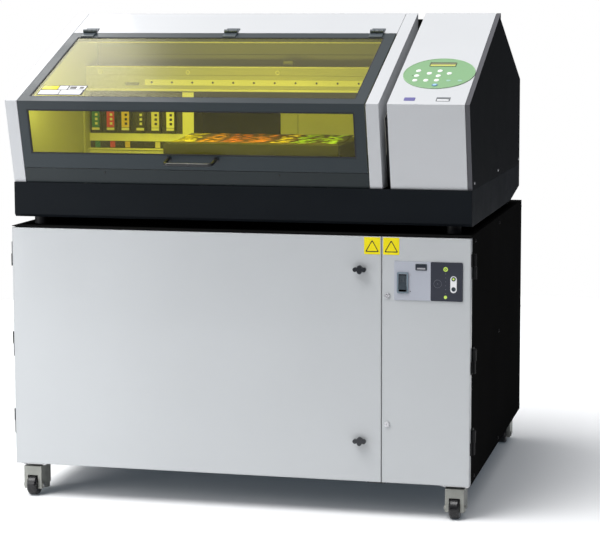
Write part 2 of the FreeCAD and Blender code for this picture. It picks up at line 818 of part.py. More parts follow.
def caster_housing(label, side, y):
    """Die-cast housing astride the wheel, with kingpin, axle and a screw foot in its rear boss."""
    x = f"{side} * caster_x"
    wheel_y = f"{y} - wheel_trail"
    foot_y = f"{y} + foot_offset"
    block = box("housing_block", ("housing_width", "housing_front + wheel_trail + housing_back",
                                  "housing_top - housing_bottom"),
                (f"{x} - housing_width / 2", f"{wheel_y} - housing_front", "housing_bottom"))
    boss = rod("foot_boss", "foot_boss_radius", "foot_boss_top - foot_boss_bottom",
               (x, foot_y, "foot_boss_bottom"))
    bridge = box("housing_bridge", ("housing_width - 2 * bridge_inset",
                                    "wheel_trail + foot_offset", "bridge_height"),
                 (f"{x} - housing_width / 2 + bridge_inset", wheel_y,
                  "housing_top - bridge_height - bridge_drop"))
    kingpin = rod("kingpin", "kingpin_radius", "stand_bottom - housing_top + kingpin_root",
                  (x, y, "housing_top - kingpin_root"))
    room = drill("wheel_room", "wheel_radius + wheel_room", (x, wheel_y, "wheel_radius"),
                 axis="x", reach="wheel_width / 2 + wheel_side_room")
    cast = cut("housing_cast", fuse("housing_solid", [block, boss, bridge, kingpin]), [room])
    axle = rod("axle", "axle_radius", "housing_width",
               (f"{x} - housing_width / 2", wheel_y, "wheel_radius"), axis="x")
    nuts = [rod("axle_nut", "axle_nut_radius", "axle_nut_height", (start, wheel_y, "wheel_radius"),
                axis="x")
            for start in (f"{x} - housing_width / 2 - axle_nut_height", f"{x} + housing_width / 2")]
    foot_pad = rod("foot_pad", "foot_pad_radius", "foot_pad_height", (x, foot_y, "foot_pad_bottom"))
    stem_low = "foot_pad_bottom + foot_pad_height"
    stem = rod("foot_stem", "foot_stem_radius", f"foot_boss_bottom - ({stem_low}) + weld_overlap",
               (x, foot_y, f"{stem_low} - weld_overlap"))
    foot = fuse("screw_foot", [foot_pad, stem])
    part(group(label + "_cast", [fuse("housing_with_axle", [cast, axle, *nuts]), foot]), label)


def caster_wheel(label, side, y):
    """A turned wheel with a chamfered tread and a bore that runs on the axle."""
    body = DOC.addObject("PartDesign::Body", label + "_turned")
    half = "wheel_width / 2"
    bore = "axle_radius + running_clearance"
    points = [(f"-{half}", bore), (half, bore), (half, "wheel_radius - tyre_chamfer"),
              (f"{half} - tyre_chamfer", "wheel_radius"),
              (f"-{half} + tyre_chamfer", "wheel_radius"),
              (f"-{half}", "wheel_radius - tyre_chamfer")]
    section = draw_outline(body, label + "_section", points)
    turned = body.newObject("PartDesign::Revolution", label + "_revolution")
    turned.Profile = section
    turned.ReferenceAxis = (section, ["H_Axis"])
    turned.Angle = 360
    place(body, x=f"{side} * caster_x", y=f"{y} - wheel_trail", z="wheel_radius")
    part(body, label)


def casters():
    """Four swivelling, levelling casters under the corners of the stand."""
    plates = []
    for end, y in (("front", depth("caster_front_y")), ("rear", depth("caster_back_y"))):
        for hand, side in (("left", -1), ("right", 1)):
            plates.append(caster_plate(side, y))
            caster_housing(f"caster_housing_{end}_{hand}", side, y)
            caster_wheel(f"caster_wheel_{end}_{hand}", side, y)
    part(group("caster_plates", plates), "caster_mount_plates")


# ---------------------------------------------------------------- filter unit

def filter_unit():
    """Open-fronted filter housing with its duct and motor, the filter block and the blower wheel."""
    y = depth("filter_front_y")
    body = DOC.addObject("PartDesign::Body", "filter_shell")
    block = pad(body, draw_outline(body, "filter_outline",
                                   rectangle("0", "0", "filter_width", "filter_height")),
                "filter_depth")
    shell(body, block, "filter_wall", lambda normal: normal.z > MOSTLY)
    place(body, x="filter_left_x", y=f"{y} + filter_depth", z="filter_bottom", turn="90")
    middle_x = "filter_left_x + filter_width / 2"
    middle_z = "filter_bottom + filter_height / 2"
    rear = f"{y} + filter_depth - filter_wall"
    motor = rod("blower_motor", "motor_radius", "motor_length",
                (middle_x, f"{rear} - motor_length", middle_z), axis="y")
    spindle = rod("blower_spindle", "spindle_radius", "spindle_length",
                  (middle_x, f"{rear} - spindle_length", middle_z), axis="y")
    duct = rod("duct_outside", "duct_radius", "base_bottom - filter_bottom - filter_height",
               ("duct_offset_x", depth("duct_offset_y"), "filter_bottom + filter_height"))
    duct_bore = drill("duct_inside", "duct_radius - filter_wall",
                      ("duct_offset_x", depth("duct_offset_y"), "filter_bottom + filter_height"),
                      reach="base_bottom - filter_bottom - filter_height + drill_reach")
    part(cut("filter_housing_bored", fuse("filter_housing_solid", [body, motor, spindle, duct]),
             [duct_bore]), "filter_housing")
    part(box("filter_block",
             ("filter_width - 2 * cartridge_room", "cartridge_box_depth",
              "filter_height - 2 * cartridge_room"),
             ("filter_left_x + cartridge_room", f"{y} + cartridge_room",
              "filter_bottom + filter_wall")), "filter_cartridge")
    wheel_start = f"{rear} - spindle_length + impeller_setback"
    disc = rod("impeller_disc", "impeller_radius", "impeller_plate",
               (middle_x, wheel_start, middle_z), axis="y")
    hub = rod("impeller_hub", "impeller_hub_radius", "impeller_depth",
              (middle_x, wheel_start, middle_z), axis="y")
    blades = []
    root = "(impeller_radius - blade_length - blade_tip_gap)"
    for number in range(SIZES["blade_count"]):
        blade = box("impeller_blade", ("blade_length", "impeller_depth", "blade_thickness"),
                    ("0", "0", "0"))
        turn = f"{number} * 360 deg / blade_count"
        blades.append(place(blade, x=f"{middle_x} + cos({turn}) * {root}", y=wheel_start,
                            z=f"{middle_z} - sin({turn}) * {root}", turn=turn, axis=(0, 1, 0)))
    bore = drill("impeller_bore", "spindle_radius + running_clearance",
                 (middle_x, wheel_start, middle_z), axis="y", reach="2 * impeller_depth")
    part(cut("impeller_bored", fuse("impeller_solid", [disc, hub, *blades]), [bore]),
         "blower_impeller")


# ---------------------------------------------------------------- printer base and covers

def base_tray():
    """Deep black tray that carries the printer, tapered at the back, with the duct's hole."""
    front, back = depth("base_front_y"), depth("base_back_y")
    points = [(f"{front} + base_chamfer", "base_bottom"),
              (f"{back} - base_taper_length", "base_bottom"),
              (back, "base_bottom + base_taper_rise"), (back, "base_top"),
              (front, "base_top"), (front, "base_bottom + base_chamfer")]
    body, block = side_profile("tray", points, "-base_half_width", "2 * base_half_width")
    shell(body, block, "base_wall", lambda normal: normal.y > MOSTLY)
    hole = drill("tray_duct_hole", "duct_radius + duct_hole_room",
                 ("duct_offset_x", depth("duct_offset_y"), "base_bottom"))
    part(cut("tray_bored", body, [hole]), "base_tray")


def base_feet():
    """Four round feet between the stand's top plate and the tray."""
    feet = [rod("foot", "foot_radius", "base_bottom - stand_top",
                (f"{side} * (base_half_width - foot_inset)", y, "stand_top"))
            for side in (-1, 1)
            for y in (depth("base_front_y + foot_inset"), depth("rear_foot_y"))]
    part(group("feet", feet), "base_feet")


def cover_outline():
    """The covers' side view: leaning front, slanted top, the step at the ridge and the rear slope."""
    return [(depth("cover_front_y"), "base_top"), (depth("crease_y"), "crease_z"),
            (depth("ridge_y"), "ridge_z"), (depth("ridge_y"), "ridge_z - ridge_step"),
            (depth("base_back_y"), "rear_z"), (depth("base_back_y"), "base_top")]


def inset_outline():
    """The front and top edges moved inwards by the groove's depth, from the bottom to the ridge."""
    spread = f"cos({SLOPE} - {LEAN})"
    return [(f"{depth('cover_front_y')} + groove_depth / cos({LEAN})", "base_top"),
            (f"{depth('crease_y')} + groove_depth * (cos({SLOPE}) + sin({LEAN})) / {spread}",
             f"crease_z + groove_depth * (sin({SLOPE}) - cos({LEAN})) / {spread}"),
            (depth("ridge_y"), f"ridge_z - groove_depth / cos({SLOPE})")]


def top_height(y):
    """Height of the slanted top at a depth."""
    return f"crease_z + (({y}) - crease_y) * tan({SLOPE})"


def side_covers():
    """Hollow left side cover and the flanged black side cover of the tower."""
    body, block = side_profile("left_cover", cover_outline(), "-stand_width / 2",
                               "left_cover_inner_x + stand_width / 2")
    shell(body, block, "cover_wall", lambda normal: normal.y < -MOSTLY)
    part(body, "left_side_cover")
    body, block = side_profile("tower_side", cover_outline(), "tower_right_x + seam_gap",
                               "base_half_width - tower_right_x - seam_gap")
    shell(body, block, "cover_wall", lambda normal: normal.z < -MOSTLY)
    part(body, "tower_side_cover")


def carriage_slot():
    """The space that the beam and the carriage pass through, from the chamber into the tower."""
    return box("carriage_slot", ("tower_left_x - strip_right_x + 2 * wall_slot_reach",
                                 "wall_slot_back - wall_slot_front",
                                 "wall_slot_top - wall_slot_bottom"),
               ("strip_right_x - wall_slot_reach", depth("wall_slot_front"), "wall_slot_bottom"))


def tower_front_cover():
    """White shell of the control tower: leaning front, slanted top and left cheek."""
    points = cover_outline()[:3] + [(depth("ridge_y"), "base_top")]
    body, block = side_profile("tower_front", points, "tower_left_x",
                               "tower_right_x - tower_left_x")
    shell(body, block, "cover_wall",
          lambda normal: normal.z > MOSTLY or normal.y < -MOSTLY or normal.x > MOSTLY)
    part(cut("tower_front_slotted", body, [carriage_slot()]), "tower_front_cover")


def divider_strip():
    """White band beside the groove, following the front and the top, open on its hidden side."""
    points = cover_outline()[:3] + inset_outline()[::-1]
    body, block = side_profile("strip_band", points, "strip_left_x", "strip_right_x - strip_left_x")
    shell(body, block, "cover_wall", lambda normal: normal.z < -MOSTLY)
    part(body, "divider_strip")


def chamber_right_wall():
    """Wall between the print chamber and the tower, with the slot that the carriage parks through."""
    back = depth("base_back_y - wall_back_inset")
    points = inset_outline() + [(back, "rear_z - wall_back_drop"), (back, "base_top")]
    body, _ = side_profile("wall_plate", points, "strip_right_x + seam_gap",
                           "tower_left_x - strip_right_x - 2 * seam_gap")
    part(cut("wall_slotted", body, [carriage_slot()]), "chamber_right_wall")


def hood_cover():
    """White top panel from the cover's hinges back to the ridge, with a lip down the step."""
    front = "frame_back_y + hood_gap"
    points = [(depth(front), top_height(front)), (depth("ridge_y"), "ridge_z"),
              (depth("ridge_y"), "ridge_z - ridge_step - hood_lip"),
              (depth(front), f"{top_height(front)} - ridge_step - hood_lip")]
    body, block = side_profile("hood_panel", points, "left_cover_inner_x + seam_gap",
                               "strip_left_x - left_cover_inner_x - 2 * seam_gap")
    shell(body, block, "cover_wall",
          lambda normal: normal.y < -0.5 or abs(normal.z) > MOSTLY or normal.x < -MOSTLY)
    part(body, "hood_cover")


def rear_cover():
    """Black rear cover: the rear slope and the upright back in one bent sheet."""
    front = depth("ridge_y + seam_gap")
    points = [(front, "ridge_z - ridge_step"), (depth("base_back_y"), "rear_z"),
              (depth("base_back_y"), "base_top"), (front, "base_top")]
    body, block = side_profile("rear_panel", points, "left_cover_inner_x + seam_gap",
                               "tower_right_x - left_cover_inner_x - seam_gap")
    shell(body, block, "cover_wall",
          lambda normal: normal.y < -MOSTLY or abs(normal.z) > MOSTLY or normal.x < -MOSTLY)
    part(body, "rear_cover")


def front_apron():
    """Fixed dark bar under the front cover, on the leaning plane."""
    top = "frame_bottom_z - seam_gap"
    top_y = f"{depth('cover_front_y')} - ({top} - base_top) * tan({LEAN})"
    points = [(depth("cover_front_y"), "base_top"), (top_y, top),
              (f"{top_y} + apron_thickness", top),
              (f"{depth('cover_front_y')} + apron_thickness", "base_top")]
    body, _ = side_profile("apron_bar", points, "left_cover_inner_x + seam_gap",
                           "strip_left_x - left_cover_inner_x - 2 * seam_gap")
    part(body, "front_apron")


# ---------------------------------------------------------------- front cover

def window_slabs(name, thickness, sunk):
    """A slab in each window's outline, laid on the slope and on the lean, sunk below the surface."""
    slabs = []
    for low, high in (("upper_window_low", "upper_window_high"),
                      ("front_window_high", "front_window_low")):
        slab = box(f"{name}_slab", ("window_right_x - window_left_x", f"{high} - {low}", thickness),
                   ("0", "0", f"-({sunk})"))
        slabs.append(group(f"{name}_laid", [slab]))
    lay_on_slope(slabs[0], x="window_left_x", rise="upper_window_low")
    lay_on_lean(slabs[1], x="window_left_x", drop="front_window_low")
    return slabs


def front_cover_frame():
    """Bent frame over the slanted top and the leaning front, with its two window openings."""
    low_y = f"{depth('cover_front_y')} - (frame_bottom_z - base_top) * tan({LEAN})"
    points = [(low_y, "frame_bottom_z"), (depth("crease_y"), "crease_z"),
              (depth("frame_back_y"), top_height("frame_back_y")),
              (depth("frame_back_y"), "frame_bottom_z")]
    body, block = side_profile("frame_blank", points, "left_cover_inner_x + seam_gap",
                               "cover_right_x - left_cover_inner_x - seam_gap")
    shell(body, block, "frame_thickness",
          lambda normal: normal.x > MOSTLY or normal.y < -MOSTLY or abs(normal.z) > MOSTLY)
    openings = window_slabs("opening", "2 * window_cut_reach", "window_cut_reach")
    part(cut("frame_pierced", body, openings), "front_cover_frame")


def cover_windows():
    """The two clear panes, let into the frame's openings."""
    panes = window_slabs("pane", "window_thickness", "window_recess + window_thickness")
    part(group("panes", panes), "cover_windows")


def cover_handle():
    """Bent wire handle on two feet, on the leaning front below the window."""
    half = "handle_span / 2"
    pieces = [rod("handle_bar", "handle_wire_radius", "handle_span - 2 * handle_bend",
                  (f"-{half} + handle_bend", "0", "handle_reach"), axis="x")]
    for side in (-1, 1):
        x = f"{side} * {half}"
        pieces.append(rod("handle_leg", "handle_wire_radius", "handle_reach - handle_bend",
                          (x, "0", "0")))
        pieces.append(rod("handle_foot", "handle_foot_radius", "handle_foot_height",
                          (x, "0", "0")))
        bend = DOC.addObject("Part::Torus", "handle_corner")
        bind(bend, Radius1="handle_bend", Radius2="handle_wire_radius")
        bend.Angle3 = 90
        centre_x = f"{side} * ({half} - handle_bend)"
        place(bend, centre_x, "0", "handle_reach - handle_bend")
        turn = FreeCAD.Rotation(FreeCAD.Vector(1, 0, 0), 90)
        if side < 0:
            turn = FreeCAD.Rotation(FreeCAD.Vector(0, 1, 0), -90).multiply(turn)
        bend.Placement.Rotation = turn
        pieces.append(bend)
    handle = fuse("handle_bent", pieces)
    lay_on_lean(handle, x="handle_x", drop="handle_drop")
    part(handle, "cover_handle")


def cover_hinges():
    """Three knuckle hinges along the cover's back edge: fixed leaves with pins, and moving leaves."""
    fixed, moving = [], []
    half = "knuckle_length / 2"
    step = "knuckle_length + knuckle_gap"
    reach = "cover_leaf_length"
    tongue = "knuckle_radius + tongue_overlap"
    rise = f"(frame_back_y - crease_y) / cos({SLOPE}) + hinge_seam"
    for x in ("left_cover_hinge_x", "middle_cover_hinge_x", "right_cover_hinge_x"):
        middle = [
            box("fixed_leaf", ("3 * knuckle_length", reach, "cover_leaf_thickness"),
                ("-1.5 * knuckle_length", "knuckle_radius + cover_leaf_gap", "0")),
            box("fixed_tongue", ("knuckle_length", tongue, "cover_leaf_thickness"),
                (f"-{half}", "hinge_seam", "0")),
            rod("fixed_knuckle", "knuckle_radius", "knuckle_length",
                (f"-{half}", "0", "knuckle_rise"), axis="x"),
            rod("cover_pin", "knuckle_pin_radius", f"knuckle_length + 2 * ({step})",
                (f"-{half} - ({step})", "0", "knuckle_rise"), axis="x"),
        ]
        leaf = fuse("fixed_hinge_leaf", middle)
        lay_on_slope(leaf, x=x, rise=rise)
        fixed.append(leaf)
        outer = [box("moving_leaf", ("3 * knuckle_length", reach, "cover_leaf_thickness"),
                     ("-1.5 * knuckle_length",
                      "-cover_leaf_length - knuckle_radius - cover_leaf_gap", "0"))]
        for side in (-1, 1):
            start = f"{side} * ({step}) - {half}"
            outer.append(box("moving_tongue", ("knuckle_length", tongue, "cover_leaf_thickness"),
                             (start, f"-({tongue}) - hinge_seam", "0")))
            outer.append(rod("moving_knuckle", "knuckle_radius", "knuckle_length",
                             (start, "0", "knuckle_rise"), axis="x"))
        bore = drill("cover_hinge_bore", "knuckle_pin_radius + running_clearance",
                     ("0", "0", "knuckle_rise"), axis="x", reach="3 * knuckle_length")
        hinge = cut("moving_hinge_leaf", fuse("moving_leaf_solid", outer), [bore])
        lay_on_slope(hinge, x=x, rise=rise)
        moving.append(hinge)
    part(group("fixed_leaves", fixed), "hood_hinge_leaves")
    part(group("moving_leaves", moving), "cover_hinge_leaves")


# ---------------------------------------------------------------- round key panel

# key places from the panel's centre: across, and up the slope
PANEL_KEYS = [(-55, 14), (-55, -16), (-55, -44), (0, 14), (-25, -1), (26, -1), (0, -16),
              (-27, -44), (0, -43)]


def key_panel():
    """Round overlay on the tower, with a hole for the power button and nine membrane domes."""
    disc = rod("overlay_disc", "panel_radius", "panel_thickness", ("0", "0", "0"))
    hole = drill("overlay_hole", "panel_key_radius + power_key_room", ("0", "-power_key_drop", "0"))
    overlay = cut("overlay_bored", disc, [hole])
    lay_on_slope(overlay, x="panel_x", rise="panel_rise")
    part(overlay, "key_panel")
    domes = [rod("dome", "panel_key_radius", "panel_key_height",
                 (str(across), str(up), "panel_thickness")) for across, up in PANEL_KEYS]
    keys = group("domes", domes)
    lay_on_slope(keys, x="panel_x", rise="panel_rise")
    part(keys, "panel_keys")
    button = DOC.addObject("Part::Compound", "power_key")
    button.Links = [rod("power_cap", "panel_key_radius", "power_key_height",
                        ("0", "-power_key_drop", "power_key_lift"))]
    lay_on_slope(button, x="panel_x", rise="panel_rise")
    part(button, "panel_power_button")


# ---------------------------------------------------------------- works inside the printer

def chassis_deck():
    """Steel deck on the tray's floor with two table rails."""
    deck = box("deck_sheet", ("2 * deck_half_width", "deck_depth", "deck_thickness"),
               ("-deck_half_width", depth("deck_front_y"), "base_bottom + base_wall"))
    middle = "table_left_x + table_width / 2"
    rails = [box("table_rail", ("table_rail_width", "deck_depth", "table_rail_height"),
                 (f"{middle} + {side} * table_rail_spacing / 2 - table_rail_width / 2",
                  depth("deck_front_y"), DECK_TOP))
             for side in (-1, 1)]
    opening = drill("deck_duct_hole", "duct_radius + duct_hole_room",
                    ("duct_offset_x", depth("duct_offset_y"), DECK_TOP))
    part(cut("deck_bored", fuse("deck_solid", [deck, *rails]), [opening]), "chassis_deck")


def post_spots():
    """Plan places of the four lift posts under the table."""
    return [(f"table_left_x + {x}", depth(f"table_front_y + {y}"))
            for x in ("post_inset_x", "table_width - post_inset_x")
            for y in ("post_inset_y", "table_depth - post_inset_y")]


def table_saddle():
    """Plate that rides on the rails and carries the four lift posts."""
    plate = box("saddle_sheet", ("table_width - 2 * saddle_margin",
                                 "table_depth - 2 * saddle_margin", "saddle_thickness"),
                ("table_left_x + saddle_margin", depth("table_front_y + saddle_margin"),
                 SADDLE_BOTTOM))
    posts = [rod("lift_post", "post_radius", f"post_top_z - ({SADDLE_BOTTOM})",
                 (x, y, SADDLE_BOTTOM)) for x, y in post_spots()]
    part(fuse("saddle_solid", [plate, *posts]), "table_saddle")


def work_table():
    """Flat bed with a folded skirt and four sleeves that slide on the posts."""
    body = DOC.addObject("PartDesign::Body", "table_tray")
    block = pad(body, draw_outline(body, "table_outline",
                                   rectangle("0", "0", "table_width", "table_depth")),
                "table_skirt")
    soften(body, block, "table_corner", upright)
    hollow = rectangle("table_wall", "table_wall", "table_width - table_wall",
                       "table_depth - table_wall")
    pocket(body, draw_outline(body, "table_hollow", hollow), "table_skirt - table_plate")
    place(body, x="table_left_x", y=depth("table_front_y"), z="table_top_z - table_skirt")
    underside = "table_top_z - table_plate"
    sleeves = [rod("lift_sleeve", "sleeve_radius", "sleeve_length + weld_overlap",
                   (x, y, f"{underside} - sleeve_length")) for x, y in post_spots()]
    bores = [rod("sleeve_bore", "post_radius + running_clearance", "sleeve_length + weld_overlap",
                 (x, y, f"{underside} - sleeve_length - weld_overlap")) for x, y in post_spots()]
    part(cut("table_bored", fuse("table_solid", [body, *sleeves]), bores), "work_table")


def gantry_beam():
    """Cross beam with its carriage rail, on a bracket at each end."""
    front = depth("beam_front_y")
    pieces = [box("beam_bar", ("beam_right_x - beam_left_x", "beam_depth", "beam_height"),
                  ("beam_left_x", front, "beam_bottom_z")),
              box("beam_rail", ("beam_right_x - beam_left_x", "beam_rail_depth",
                                "beam_rail_height"),
                  ("beam_left_x", f"{front} - beam_rail_depth",
                   "beam_bottom_z + (beam_height - beam_rail_height) / 2"))]
    for x in ("beam_left_x", "beam_right_x - bracket_thickness"):
        pieces.append(box("beam_bracket",
                          ("bracket_thickness", "bracket_depth", f"beam_bottom_z - ({DECK_TOP})"),
                          (x, f"{front} - (bracket_depth - beam_depth) / 2", DECK_TOP)))
    part(fuse("gantry_solid", pieces), "gantry_beam")


def print_carriage():
    """Print-head carriage, parked inside the tower in front of the beam."""
    body = DOC.addObject("PartDesign::Body", "carriage_box")
    block = pad(body, draw_outline(body, "carriage_outline",
                                   rectangle("0", "0", "carriage_width", "carriage_depth")),
                "carriage_height")
    soften(body, block, "carriage_corner", upright)
    place(body, x="carriage_left_x", y=depth("carriage_front_y"), z="carriage_bottom_z")
    part(body, "print_carriage")


def ink_bay():
    """Block with a row of open-fronted slots for the cartridges."""
    block = box("bay_block", ("bay_width", "bay_depth", "bay_height"),
                ("bay_left_x", depth("bay_front_y"), "bay_bottom_z"))
    slots = [box("bay_slot", ("ink_width + 2 * ink_room", "ink_depth + ink_room",
                              "ink_height + 2 * ink_room"),
                 (f"ink_first_x + {number} * ink_pitch - ink_width / 2 - ink_room",
                  depth("bay_front_y - ink_reach"), "ink_bottom_z - ink_room"))
             for number in range(SIZES["ink_count"])]
    part(cut("bay_slotted", block, slots), "ink_bay")


def ink_cartridges():
    """Six flat cartridges that slide out of the bay towards the front."""
    for number in range(SIZES["ink_count"]):
        body = DOC.addObject("PartDesign::Body", f"cartridge_{number + 1}")
        half = "ink_width / 2"
        block = pad(body, draw_outline(body, f"cartridge_face_{number + 1}",
                                       rectangle(f"-{half}", "0", half, "ink_height")),
                    "ink_depth")
        soften(body, block, "ink_corner", upright)
        place(body, x=f"ink_first_x + {number} * ink_pitch",
              y=depth("bay_front_y - ink_reach + ink_depth"), z="ink_bottom_z", turn="90")
        part(body, f"ink_cartridge_{number + 1}")


# ---------------------------------------------------------------- build, check and write

def check_document():
    """Stop if any object failed, or any sub-part's shape is empty or invalid."""
    for item in DOC.Objects:
        if {"Invalid", "Error"} & set(item.State):
            raise RuntimeError(f"{item.Label} failed: {item.State}")
    for item in PARTS:
        if item.Shape.isNull() or not item.Shape.isValid() or not item.Shape.Solids:
            raise RuntimeError(f"{item.Label} has no valid solid")


def write_parts():
    """Write each sub-part to its own STEP file."""
    os.makedirs("parts", exist_ok=True)
    for item in PARTS:
        item.Shape.exportStep(f"parts/{item.Label}.step")


def build():
    """Make every sub-part, check the document and write the files."""
    fill_sheet()
    stand_frame()
    stand_plates()
    stand_back_panel()
    stand_partition()
    doors()
    wing_knob("upper_door_knob", "upper_knob_z")
    wing_knob("lower_door_knob", "lower_knob_z")
    quarter_turn_lock("upper_door_lock", "upper_lock_z")
    quarter_turn_lock("lower_door_lock", "lower_lock_z")
    door_hinges()
    control_plates()
    power_rocker()
    casters()
    filter_unit()
    base_tray()
    base_feet()
    side_covers()
    tower_front_cover()
    divider_strip()
    chamber_right_wall()
    hood_cover()
    rear_cover()
    front_apron()
    front_cover_frame()
    cover_windows()
    cover_handle()
    cover_hinges()
    key_panel()
    chassis_deck()
    table_saddle()
    work_table()
    gantry_beam()
    print_carriage()
    ink_bay()
    ink_cartridges()
    DOC.recompute()
    check_document()
    write_parts()
    print(f"{len(PARTS)} sub-parts written")


build()
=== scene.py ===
"""Looks of the flatbed UV printer on its cabinet stand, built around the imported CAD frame.

All places are in metres in the row frame: +Z up, the doors and the front cover face -Y.
"""
import json
import math
import random

import bmesh
import bpy
from mathutils import Matrix, Vector


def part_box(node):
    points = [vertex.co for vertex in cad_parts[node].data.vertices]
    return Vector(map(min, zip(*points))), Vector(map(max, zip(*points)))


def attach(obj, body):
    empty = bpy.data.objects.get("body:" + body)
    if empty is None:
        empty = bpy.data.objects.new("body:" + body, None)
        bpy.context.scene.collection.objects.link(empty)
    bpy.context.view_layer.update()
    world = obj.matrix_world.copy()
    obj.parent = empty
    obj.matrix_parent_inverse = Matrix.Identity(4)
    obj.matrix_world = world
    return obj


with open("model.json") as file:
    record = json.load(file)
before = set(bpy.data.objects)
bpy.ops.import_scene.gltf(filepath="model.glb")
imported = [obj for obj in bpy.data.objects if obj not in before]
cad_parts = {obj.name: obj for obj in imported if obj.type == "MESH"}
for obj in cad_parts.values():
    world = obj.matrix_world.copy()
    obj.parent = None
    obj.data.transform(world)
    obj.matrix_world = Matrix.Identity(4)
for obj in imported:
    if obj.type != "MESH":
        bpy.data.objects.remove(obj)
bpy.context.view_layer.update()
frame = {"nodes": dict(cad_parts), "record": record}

NODES = frame["nodes"]
MM = 0.001

# ---------------------------------------------------------------- planes that pieces lie on

CREASE_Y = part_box("front_cover_frame")[0].y
CREASE_Z = 1.042
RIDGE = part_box("divider_strip")[1]
COVER_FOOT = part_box("divider_strip")[0].z
COVER_FOOT_Y = -0.450
SLOPE = math.atan2(RIDGE.z - CREASE_Z, RIDGE.y - CREASE_Y)
LEAN = math.atan2(COVER_FOOT_Y - CREASE_Y, CREASE_Z - COVER_FOOT)

# right-hand and upward directions of each way that a surface faces
FACINGS = {
    "front": ((1, 0, 0), (0, 0, 1)),
    "back": ((-1, 0, 0), (0, 0, 1)),
    "right": ((0, 1, 0), (0, 0, 1)),
    "left": ((0, -1, 0), (0, 0, 1)),
    "up": ((1, 0, 0), (0, 1, 0)),
    "slope": ((1, 0, 0), (0, math.cos(SLOPE), math.sin(SLOPE))),
    "lean": ((1, 0, 0), (0, -math.sin(LEAN), math.cos(LEAN))),
}


def facing(side, point):
    """A place on a surface: local X to its right, local Y up it, local Z out of it."""
    right, up = (Vector(v) for v in FACINGS[side])
    place = Matrix((right, up, right.cross(up))).transposed().to_4x4()
    place.translation = point
    return place


def on_slope(x, rise, lift=0.0):
    """A place on the slanted top, a distance up from the crease."""
    place = facing("slope", (x, CREASE_Y + rise * math.cos(SLOPE), CREASE_Z + rise * math.sin(SLOPE)))
    return place @ Matrix.Translation((0, 0, lift))


def on_lean(x, drop, lift=0.0):
    """A place on the leaning front, a distance down from the crease."""
    place = facing("lean", (x, CREASE_Y + drop * math.sin(LEAN), CREASE_Z - drop * math.cos(LEAN)))
    return place @ Matrix.Translation((0, 0, lift))


# ---------------------------------------------------------------- node materials

def set_stops(made, stops):
    """Give a colour ramp node its (place, colour) stops."""
    elements = made.color_ramp.elements
    while len(elements) < len(stops):
        elements.new(0.5)
    for element, (place, color) in zip(elements, stops):
        element.position = place
        element.color = (*color, 1)


